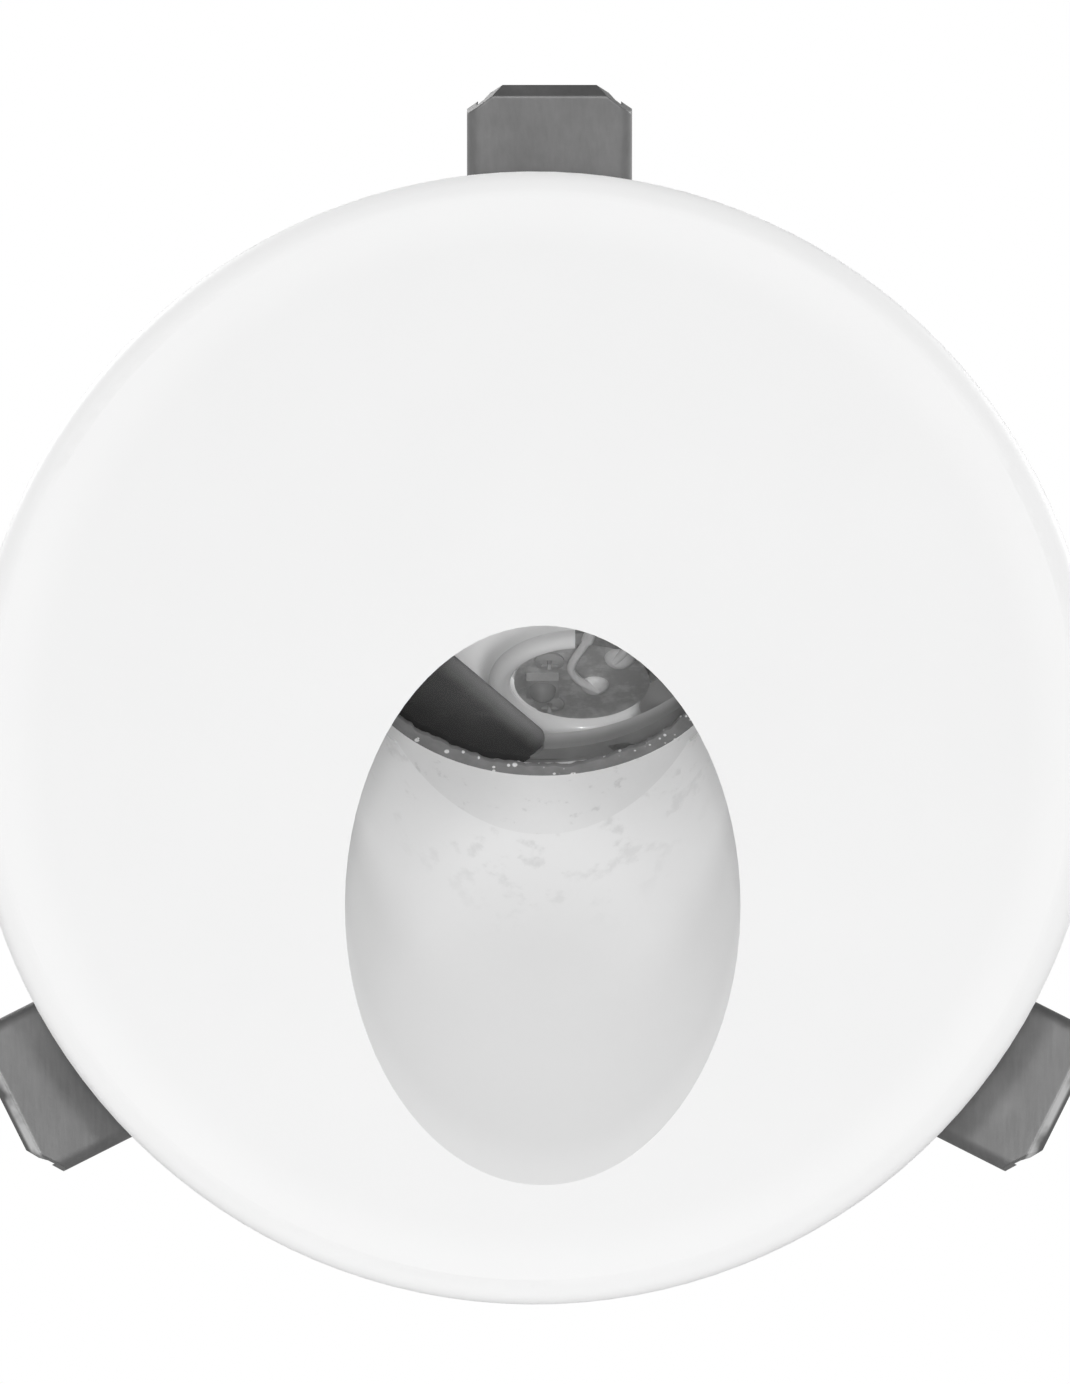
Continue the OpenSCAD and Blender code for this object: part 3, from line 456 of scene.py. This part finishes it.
def moulded_grey():
    """Dull is the darker right side, with a wandering edge, where the painted glow fades. Flank is the
    cup's side, away from its mouth, which gets the most painted glow.
    """
    plastic = Finish("reflector plastic")
    cloud = plastic.noise(140, 3) - 0.5
    rightward = plastic.axes()[0] + plastic.noise(700, 3) * (1.2 * MM)
    # darker on the right side, where the painted glow also fades
    dull = plastic.smooth(rightward, 7.4 * MM, 8.6 * MM)
    flank = 1 - plastic.smooth(plastic.along(LED_DOWN, LED_CENTRE), -1.6 * MM, -0.3 * MM)
    # painted light: the cup glows though it is no lamp, most on its flank
    glow = (0.17 + flank * 0.33 + cloud * 0.03) * (1 - dull * 0.8)
    return plastic.done(
        Base_Color=0.86 + cloud * 0.05 - dull * 0.42,
        Roughness=0.32 + cloud * 0.1,
        Coat_Weight=0.8,
        Coat_Roughness=0.05,
        Emission_Color=glow,
        Emission_Strength=1.0,
        Normal=plastic.bump(plastic.noise(900, 2), 0.02, 0.4),
    )


dress(moulded_grey(), "reflector")

# LED board, thermal pad and screws
# A round board with dark solder mask, mottled where flux has dried on it. Two screws hold it and its pad
# on the carrier's pedestal, and two bright solder joints carry the leads.

BOARD_TOP = -0.1


def on_led(points):
    """Places points beside the LED's axis: z runs along the light's aim from the reflector's mouth."""
    return turned(points, LED_CENTRE, LED_DOWN, [1, 0, 0])


def solder_mask():
    mask = Finish("solder mask")
    patches = mask.smooth(mask.noise(620, 4, 0.65), 0.42, 0.66)
    stains = mask.smooth(mask.noise(1700, 3, 0.6), 0.55, 0.75)
    return mask.done(
        Base_Color=0.5 + patches * 0.18 + stains * 0.10,
        Roughness=0.5 - patches * 0.15,
        Normal=mask.bump(mask.noise(2600, 3), 0.05, 0.7),
    )


def pad_finish():
    pad = Finish("thermal pad")
    return pad.done(
        Base_Color=0.33 + pad.noise(900) * 0.06,
        Roughness=0.8,
        Normal=pad.bump(pad.noise(3000), 0.03, 0.6),
    )


def solder_finish():
    solder = Finish("solder")
    return solder.done(
        Base_Color=0.90 + solder.noise(2500, 2) * 0.1,
        Metallic=0.05,
        Roughness=0.36 + solder.noise(3000, 2) * 0.15,
        Normal=solder.bump(solder.noise(3500, 2), 0.03, 0.6),
    )


def solder_joint(x, y, r, h):
    """A drop: a quarter ellipse with a slightly flared foot, turned round its own axis."""
    t = np.linspace(0, np.pi / 2, 12)
    dome = np.stack([r * np.cos(t) ** 1.2, h * np.sin(t)], axis=1)
    drop = revolved(np.concatenate([[(0, 0)], dome]), 24)
    return on_led(drop + [x, y, BOARD_TOP])


dress(solder_mask(), "led_board")
dress(pad_finish(), "thermal_pad")
bright_solder = solder_finish()
drops = [solder_joint(0.95, -0.35, 1.05, 0.7), solder_joint(2.8, 3.3, 1.15, 0.8)]
piece("solder_joints", [(drop, True, False) for drop in drops], bright_solder)

# Emitter and its dome
# A square grey ceramic base with a clear silicone dome, soldered on the board to the left.


def ceramic():
    pale = Finish("emitter ceramic")
    return pale.done(
        Base_Color=0.46 + pale.noise(2500, 2) * 0.1,
        Roughness=0.5,
        Normal=pale.bump(pale.noise(4000), 0.02),
    )


def silicone():
    soft = Finish("emitter silicone")
    return soft.done(Base_Color=0.52 + soft.noise(1800) * 0.10, Roughness=0.35, Alpha=0.5)


dress(ceramic(), "led_emitter")
dress(silicone(), "emitter_dome")

# LED carrier
# A milled aluminium block on the rear wall. Its sloping underside carries the reflector and the board.


def milled():
    metal = Finish("milled aluminium")
    waves = {"Vector": metal.place, "Scale": 520.0, "Distortion": 1.5}
    lines = metal.add("ShaderNodeTexWave", {"bands_direction": "X"}, waves)
    return metal.done(
        Base_Color=0.5 + metal.noise(300, 3) * 0.1,
        Metallic=0.9,
        Roughness=0.34 + metal.noise(1200, 2) * 0.12,
        Normal=metal.bump(lines, 0.008, 0.5),
    )


dress(milled(), "led_carrier")

# Leads
# Two insulated wires from the board to the terminal block, stripped and tinned at the board: the pale one
# curls over the board, and the dark one goes beside it.

LEAD_R, BARE_R = 0.45, 0.31
LEAD_HEIGHT = BOARD_TOP + LEAD_R + 0.01
TERMINAL_Y, TERMINAL_TOP = 28.2, -13.5
WIRE_HOLE_X = 3.0


def on_board(*points):
    """Places of (x, y) points of a lead's middle line, where it lies on the board."""
    return [on_led(np.array([x, y, LEAD_HEIGHT], float)) for x, y in points]


def into_terminal(x):
    """The lead's last stretch: from 2 above the terminal block to 3.7 down its wire hole."""
    return [[x, TERMINAL_Y, TERMINAL_TOP + 2], [x, TERMINAL_Y, TERMINAL_TOP - 3.7]]


def rounded(path, reach=1.6, steps=8):
    """A path whose corners are parabolas, (1 - t)^2 start + 2 t (1 - t) corner + t^2 end.

    Start and end are at most reach from the corner, and less than half of the way to the next.
    """
    path = [np.asarray(p, float) for p in path]
    points = [path[0]]
    for back, here, ahead in zip(path, path[1:], path[2:]):
        near = min(reach, 0.45 * np.linalg.norm(here - back), 0.45 * np.linalg.norm(ahead - here))
        start = here + near * (back - here) / np.linalg.norm(back - here)
        end = here + near * (ahead - here) / np.linalg.norm(ahead - here)
        t = np.linspace(0, 1, steps)[:, None]
        points.extend((1 - t) ** 2 * start + 2 * t * (1 - t) * here + t**2 * end)
    return np.array(points + [path[-1]])


def tube(path, radius, sides=14):
    """Rings square to a path, each turned as little as can be from the last, with a point at each end."""
    path = np.asarray(path, float)
    radius = np.broadcast_to(radius, len(path))[:, None, None]
    way = np.gradient(path, axis=0)
    way /= np.linalg.norm(way, axis=1)[:, None]
    side = np.cross(way[0], [0.3, 0.5, 0.81])
    outward = []
    for along in way:
        side = side - along * np.dot(side, along)
        side /= np.linalg.norm(side)
        outward.append(side)
    out = np.array(outward)[:, None, :]
    up = np.cross(way, outward)[:, None, :]
    a = turns(sides)[None, :, None]
    rings = path[:, None, :] + radius * (np.cos(a) * out + np.sin(a) * up)
    ends = [np.repeat(p[None, None, :], sides, axis=1) for p in (path[0], path[-1])]
    return np.concatenate([ends[0], rings, ends[1]])


def insulation(name, tone):
    skin = Finish(name)
    return skin.done(
        Base_Color=tone * (0.92 + skin.noise(900, 2) * 0.16),
        Roughness=0.42,
        Normal=skin.bump(skin.noise(2500, 2), 0.02, 0.5),
    )


pale_path = [
    *on_board((1.2, -0.5), (-0.3, 0.9), (-0.9, 2.4), (-0.5, 4), (0.6, 6.6)),
    [5, 23, 11.5], [9, 22, 14], [19, 24.2, 9.8], [21.4, 28, 2], [21.2, 30, -5.5], [12, 30, -10.5],
    *into_terminal(WIRE_HOLE_X),
]
dark_path = [
    *on_board((2.4, 3.4), (3.7, 5.8)),
    [8.6, 23.6, 9.4], [17.5, 25.4, 7.4], [18.4, 32, 0], [16, 34, -7.5], [0, 34, -9],
    *into_terminal(-WIRE_HOLE_X),
]
bare_ends = []
for name, path, slot, tone, bare in (
    ("plus", pale_path, "lead_pale", 0.9, 7.5),
    ("minus", dark_path, "lead_dark", 0.07, 4.0),
):
    route = rounded(path)
    run = np.concatenate([[0], np.cumsum(np.linalg.norm(np.diff(route, axis=0), axis=1))])
    cut = np.searchsorted(run, bare)
    bare_ends.append((tube(route[: cut + 2], BARE_R), False, True))
    piece(
        f"lead_{name}_wire", [(tube(route[cut:], LEAD_R), False, True)], insulation(f"lead {name}", tone),
        replaces=[f"lead_{name}"],
    )
piece("lead_ends", bare_ends, bright_solder)

# Terminal block
# A small moulded block on the lens frame's shelf, with a hole and a clamping screw for each wire.


def moulded_pale():
    plastic = Finish("terminal plastic")
    return plastic.done(
        Base_Color=0.62 + plastic.noise(500) * 0.06,
        Roughness=0.45,
        Normal=plastic.bump(plastic.noise(3000), 0.02, 0.5),
    )


dress(moulded_pale(), "terminal_block")

# Rear housing
# A deep cup, die cast with cooling fins, left grey and blasted outside and bare inside. Four long screws
# pull it and its gasket on to the front casting. Three flats on it take the folded arms.

FLAT_ANGLES = np.radians([90, 206.6, -26.6])
FLAT_WAYS = np.stack([np.cos(FLAT_ANGLES), 0 * FLAT_ANGLES, np.sin(FLAT_ANGLES)], axis=1)
FLAT_DISTANCES = (26.25, 25.25, 25.25)


def blasted():
    """Outside is past the rear wall, past the wall's inner circle, or close to a flat."""
    cast = Finish("blasted casting")
    x, depth, z = cast.axes()
    past_circle = cast.smooth(x * x + z * z, (26.5 * MM) ** 2, (26.8 * MM) ** 2)
    outside = cast.smooth(depth, 44.5 * MM, 44.7 * MM).at_least(past_circle)
    for way, distance in zip(FLAT_WAYS, FLAT_DISTANCES):
        near_flat = cast.smooth(cast.along(way), (distance - 0.5) * MM, (distance - 0.3) * MM)
        outside = outside.at_least(near_flat)
    inside = 1 - outside
    cloud = cast.noise(120, 4, 0.6) - 0.5
    grain = cast.noise(2600, 3, 0.6)
    outer_tone = 0.33 + cloud * 0.08 + (grain - 0.5) * 0.06
    inner_tone = 0.55 + cloud * 0.06
    return cast.done(
        Base_Color=outer_tone * outside + inner_tone * inside,
        Metallic=0.55 - inside * 0.55,
        Roughness=0.52 + cloud * 0.1 - inside * 0.2,
        Normal=cast.bump(grain, 0.06, 0.6),
    )


def rubber(tone):
    gum = Finish("gasket rubber")
    return gum.done(
        Base_Color=tone + gum.noise(700, 3) * tone * 0.5,
        Roughness=0.72,
        Normal=gum.bump(gum.noise(2800, 2), 0.03, 0.6),
    )


dress(blasted(), "rear_housing")
dress(rubber(0.022), "joint_gasket", "gland_seal")

# Cable gland
# Moulded in black nylon: a body through the rear wall with a lock nut inside, and a dome nut that squeezes
# the rubber seal round a cord.


def nylon():
    black = Finish("black nylon")
    return black.done(
        Base_Color=0.03 + black.noise(500, 3) * 0.02,
        Roughness=0.4 + black.noise(1100, 2) * 0.15,
        Normal=black.bump(black.noise(2400, 3), 0.04, 0.6),
    )


dress(nylon(), "gland_body", "gland_locknut", "gland_nut")

# Retaining arms and their brackets
# Pressed from strip steel and dulled by zinc plating, with a painted highlight on the lower arms' bent tips
# and a little painted light on the arms higher up. Each bracket is screwed on a flat of the skirt, and its
# arm turns on a riveted pin.

TIP_IN, TIP_OUT, TIP_SOFT = 45.7, 46.0, 0.25


def plated():
    """Tip highlight is a patchy painted highlight on the lower arms' bent tips, from TIP_IN to TIP_OUT
    along their flats' ways. Arms higher up get a little painted light.
    """
    steel = Finish("dull zinc plate")
    spangle = steel.noise(330, 5, 0.62) - 0.5
    rub = steel.smooth(steel.noise(120, 3), 0.5, 0.75)
    # painted light: arms higher up are a little lighter
    upper_painted_light = steel.smooth(steel.axes()[2], -10 * MM, 15 * MM)
    drawn = steel.add("ShaderNodeMapping", {}, {"Vector": steel.place, "Scale": (1, 1, 0.08)})
    scratch = steel.noise(2600, 2, at=drawn)
    out = steel.along(FLAT_WAYS[1]).at_least(steel.along(FLAT_WAYS[2]))
    past_fold = steel.smooth(out, (TIP_IN - TIP_SOFT) * MM, TIP_IN * MM)
    past_edge = steel.smooth(out, TIP_OUT * MM, (TIP_OUT + TIP_SOFT) * MM)
    # painted highlight on the lower arms' bent tips, patchy like wear
    tip_highlight = past_fold * (1 - past_edge) * steel.smooth(steel.noise(330, 3), 0.3, 0.55)
    tone_with_painted_light = 0.175 + upper_painted_light * 0.012 + spangle * 0.08 + rub * 0.04 + (scratch - 0.5) * 0.04
    return steel.done(
        Base_Color=tone_with_painted_light + tip_highlight * 0.55,
        Metallic=0.65,
        Roughness=0.5 + spangle * 0.16,
        Normal=steel.bump(scratch * 0.5 + steel.noise(1400, 3) * 0.5, 0.03, 0.6, edge=0.25),
    )


def bright_steel():
    steel = Finish("bright steel")
    return steel.done(
        Base_Color=0.55 + steel.noise(900, 3) * 0.1,
        Metallic=0.95,
        Roughness=0.3 + steel.noise(1600, 2) * 0.12,
        Normal=steel.bump(steel.noise(3200, 2), 0.01, 0.5),
    )


zinc = plated()
steel = bright_steel()
for where in ("top", "left", "right"):
    dress(zinc, f"arm_{where}", f"bracket_{where}")
dress(steel, "pin_top", "pin_left", "pin_right")

# Torsion springs
# Round spring wire wound five times round each pin, with one leg on the bracket and the other behind the
# arm.

WIRE_R, COIL_R, COIL_PITCH = 0.35, 1.7, 1.15
COIL_START, COIL_END = np.radians(-90), np.radians(360 * 5 - 16)
COIL_HALF = COIL_PITCH * (COIL_END - COIL_START) / (4 * np.pi)
LEG_BASE, LEG_ARM = 5.0, 9.0


def spring_line(steps=24):
    """A helix of constant pitch round x, with a straight leg along the wire's way at each end."""
    a = np.linspace(COIL_START, COIL_END, int((COIL_END - COIL_START) / (2 * np.pi) * steps))
    rise = COIL_PITCH * (a - COIL_START) / (2 * np.pi) - COIL_HALF
    coil = np.stack([rise, -COIL_R * np.cos(a), COIL_R * np.sin(a)], axis=1)
    leg = np.linspace(0, 1, 8)[1:, None]
    way = [np.array([0, np.sin(t), np.cos(t)]) for t in (COIL_START, COIL_END)]
    start = coil[0] - way[0] * LEG_BASE * leg[::-1]
    end = coil[-1] + way[1] * LEG_ARM * leg
    return np.concatenate([start, coil, end])


for joint in frame["joints"]:
    where = joint["name"].split("_")[0]
    pin = np.array(joint["pos_m"]) / MM
    across = -np.array(joint["axis"], float)
    outward = np.cross(across, [0, 1, 0])
    wire = spring_line() @ np.array([across, [0, 1, 0], outward]) + pin
    spring = piece(
        f"spring_{where}_wire", [(tube(wire, WIRE_R, 12), False, True)], steel,
        body=None, replaces=[f"spring_{where}"],
    )
    inner = COIL_HALF - WIRE_R
    tuple((pin - across * inner) * MM)
    tuple((pin + across * inner) * MM)
    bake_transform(spring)

# Screws
# Pan-head screws in plated steel with cross recesses: three hold the brackets, four the rear housing, and
# the rest the lens frame, the carrier, the board and the terminal block.


def recess_outline(angles, arm, half_width):
    """Distance from the middle to the edge of a cross: the further of its two bars in each direction."""
    c, s = np.abs(np.cos(angles)) + 1e-9, np.abs(np.sin(angles)) + 1e-9
    return np.maximum(np.minimum(arm / c, half_width / s), np.minimum(half_width / c, arm / s))


def screw(head_r, head_h, shank_r, length, at, along):
    """Outlines down -z: a tapering cross recess, a dome of 1 - 0.55 k^3.2, then a shank with a point.

    The cross's corners are among the angles, so that its edges come out straight.
    """
    arm, half_width = head_r * 0.58, head_r * 0.15
    corner = np.arctan(half_width / arm)
    marks = [k * np.pi / 2 + d for k in range(4) for d in (-corner, corner, np.pi / 4)]
    a = np.unique(np.round(np.concatenate([turns(36), np.mod(marks, 2 * np.pi)]), 5))
    cross = recess_outline(a, arm, half_width)
    recess = ((0, 0.35), (0.55, 0.35), (0.97, 0.88), (1, 0.96))
    shank = (
        (head_r, head_h * 0.12), (head_r * 0.97, 0), (shank_r, 0),
        (shank_r, -length + shank_r * 0.5), (shank_r * 0.6, -length), (0, -length),
    )
    rows = [(cross * k, head_h * h) for k, h in recess]
    dome = np.linspace(0.62, 1, 8)
    rows += [(np.maximum(cross, head_r * k), head_h * (1 - 0.55 * k**3.2)) for k in dome]
    rows += [(r + 0 * cross, h) for r, h in shank]
    grid = np.stack([np.stack([r * np.cos(a), r * np.sin(a), h + 0 * a], axis=1) for r, h in rows])
    return turned(grid, at, along, [1, 0, 0.01] if abs(along[0]) < 0.9 else [0, 1, 0])


def loose_solids(node):
    """Lowest corner, highest corner and points of each loose solid of a CAD node, in millimetres."""
    work = bmesh.new()
    work.from_mesh(frame["nodes"][node].data)
    bmesh.ops.remove_doubles(work, verts=work.verts, dist=1e-6)
    left, found = set(work.verts), []
    while left:
        stack, group = [left.pop()], []
        while stack:
            vert = stack.pop()
            group.append(vert.co.copy())
            for edge in vert.link_edges:
                other = edge.other_vert(vert)
                if other in left:
                    left.discard(other)
                    stack.append(other)
        points = np.array(group) / MM
        found.append((points.min(0), points.max(0), points))
    work.free()
    return sorted(found, key=lambda solid: solid[0].tolist())


def screws(node, ways, head_r, head_h, shank_r, finish=steel):
    """Stands a detailed screw in the place of each of a node's solids, its head along the nearest way."""
    grids = []
    for low, high, points in loose_solids(node):
        middle = (low + high) / 2
        along = ways[np.argmax(ways @ middle)]
        reach = points @ along
        under = reach.max() - head_h
        at = middle + along * (under - middle @ along)
        grids.append((screw(head_r, head_h * 0.99, shank_r, under - reach.min(), at, along), False, True))
    piece(node + "_set", grids, finish, replaces=[node])


def dulled():
    dull = Finish("dulled steel")
    return dull.done(Base_Color=0.46 + dull.noise(900, 2) * 0.06, Roughness=0.55 + dull.noise(700) * 0.1)


REARWARD = np.array([[0.0, 1.0, 0.0]])

screws("clip_screws", FLAT_WAYS, 2.25, 1.25, 1.25)
screws("housing_screws", REARWARD, 2.7, 1.5, 1.5)
screws("carrier_screws", REARWARD, 2.25, 1.25, 1.25)
screws("frame_screws", REARWARD, 2.25, 1.25, 1.25)
screws("board_screws", LED_DOWN[None], 1.1, 0.5, 0.8, dulled())
dress(steel, "terminal_screws")

# Studio
# A white room: pale floor under the part, even light from all round, soft lamps in front and above, and
# two behind. The camera looks straight at the face from 1.6 m, with its middle where the photo has it.

FACE_D = 82
DISC_X, DISC_Y, DISC_R = 534.4, 738.0, 567.2
IMAGE_W, IMAGE_H = 1070, 1384
MM_PER_PIXEL = FACE_D / (2 * DISC_R)
CAMERA_AWAY = 1600.0
SENSOR = 36.0
FLOOR_Z, FLOOR_FADE, FLOOR_R = -62, 200, 390


def white_room():
    """Soft light, 0.22 strong in front and behind and 0.31 at right angles to that.

    The eye sees full white through Light Path, and mirrors see a room that is dim above and bright below.
    """
    world = bpy.data.worlds.new("white room")
    world.use_nodes = True
    tree = world.node_tree
    tree.nodes.clear()
    path = tree.nodes.new("ShaderNodeLightPath")
    way = tree.nodes.new("ShaderNodeTexCoord")
    split = tree.nodes.new("ShaderNodeSeparateXYZ")
    tree.links.new(way.outputs["Generated"], split.inputs[0])

    def level(source, low, high, at_low, at_high):
        """Runs from at_low to at_high, numbers or sockets, as the source goes from low to high."""
        node = tree.nodes.new("ShaderNodeMapRange")
        tree.links.new(source, node.inputs["Value"])
        ends = {"From Min": low, "From Max": high, "To Min": at_low, "To Max": at_high}
        for name, value in ends.items():
            if isinstance(value, float):
                node.inputs[name].default_value = value
            else:
                tree.links.new(value, node.inputs[name])
        return node.outputs[0]

    facing = tree.nodes.new("ShaderNodeMath")
    facing.operation = "POWER"
    facing.inputs[1].default_value = 2.0
    tree.links.new(split.outputs["Y"], facing.inputs[0])
    mirrored = level(split.outputs["Z"], -0.1, 0.5, 1.0, 0.2)
    soft = level(facing.outputs[0], 0.0, 0.4, 0.31, 0.22)
    matt = level(path.outputs["Is Diffuse Ray"], 0.0, 1.0, mirrored, soft)
    strength = level(path.outputs["Is Camera Ray"], 0.0, 1.0, matt, 1.0)
    glow = tree.nodes.new("ShaderNodeBackground")
    glow.inputs["Color"].default_value = (1, 1, 1, 1)
    tree.links.new(strength, glow.inputs["Strength"])
    out = tree.nodes.new("ShaderNodeOutputWorld")
    tree.links.new(glow.outputs[0], out.inputs["Surface"])
    return world


def floor_paper():
    """White paper that glows a little, keeps the part's shadow and is clear at its edge and from below."""
    paper = Finish("floor paper")
    matt = paper.add("ShaderNodeBsdfDiffuse", {}, {"Color": (0.9, 0.9, 0.9, 1)})
    seen = paper.add("ShaderNodeLightPath", output="Is Camera Ray")
    white = paper.add("ShaderNodeEmission", {}, {"Strength": 0.42 + seen * 0.58})
    lit = paper.add("ShaderNodeMixShader", {}, {0: 0.65, 1: matt, 2: white})
    x, y, _ = paper.axes()
    edge = paper.smooth((x * x + y * y) ** 0.5, FLOOR_FADE * MM, (FLOOR_R - 10) * MM)
    under = 1 - paper.add("ShaderNodeNewGeometry", output="Backfacing")
    clear = paper.add("ShaderNodeBsdfTransparent")
    both = paper.add("ShaderNodeMixShader", {}, {0: edge.at_least(under), 1: lit, 2: clear})
    paper.add("ShaderNodeOutputMaterial", {}, {"Surface": both})
    return paper.material


bpy.context.scene.world = white_room()
disc = [(0, FLOOR_Z), (FLOOR_FADE, FLOOR_Z), (FLOOR_R, FLOOR_Z)]
floor = piece("floor", [(revolved(disc, 48), True, False)], floor_paper(), body=None)


def lamp(name, place, size, power):
    """A square area lamp that looks at the origin."""
    light = bpy.data.lights.new(name, "AREA")
    light.shape, light.size, light.energy = "SQUARE", size, power
    made = bpy.data.objects.new(name, light)
    bpy.context.scene.collection.objects.link(made)
    made.location = place
    made.rotation_euler = Vector(place).to_track_quat("Z", "Y").to_euler()


lamp("lamp by the camera", (0.0, -2.6, 0.05), 0.4, 20.6)
lamp("lamp at the left", (-0.8, -2.45, 0.25), 0.4, 7.5)
lamp("lamp at the right", (0.85, -2.45, 0.3), 0.4, 6.5)
lamp("lamp above", (0.0, -2.45, 0.85), 1.0, 8.5)
lamp("lamp behind, left", (-1.1, 1.3, 0.9), 0.8, 18.0)
lamp("lamp behind, right", (1.3, 1.0, 0.6), 0.8, 14.0)

centre_x = (IMAGE_W / 2 - DISC_X) * MM_PER_PIXEL
centre_z = -(IMAGE_H / 2 - DISC_Y) * MM_PER_PIXEL
camera_data = bpy.data.cameras.new("camera")
camera_data.sensor_fit = "VERTICAL"
camera_data.sensor_height = SENSOR
camera_data.sensor_width = SENSOR
camera_data.lens = SENSOR * CAMERA_AWAY / (IMAGE_H * MM_PER_PIXEL)
camera_data.clip_end = 50
camera = bpy.data.objects.new("camera", camera_data)
bpy.context.scene.collection.objects.link(camera)
camera.location = (centre_x * MM, (FACE_Y - CAMERA_AWAY) * MM, centre_z * MM)
camera.rotation_euler = (np.pi / 2, 0, 0)
bpy.context.scene.camera = camera
bpy.context.scene.view_settings.view_transform = "Standard"

bpy.context.view_layer.update()
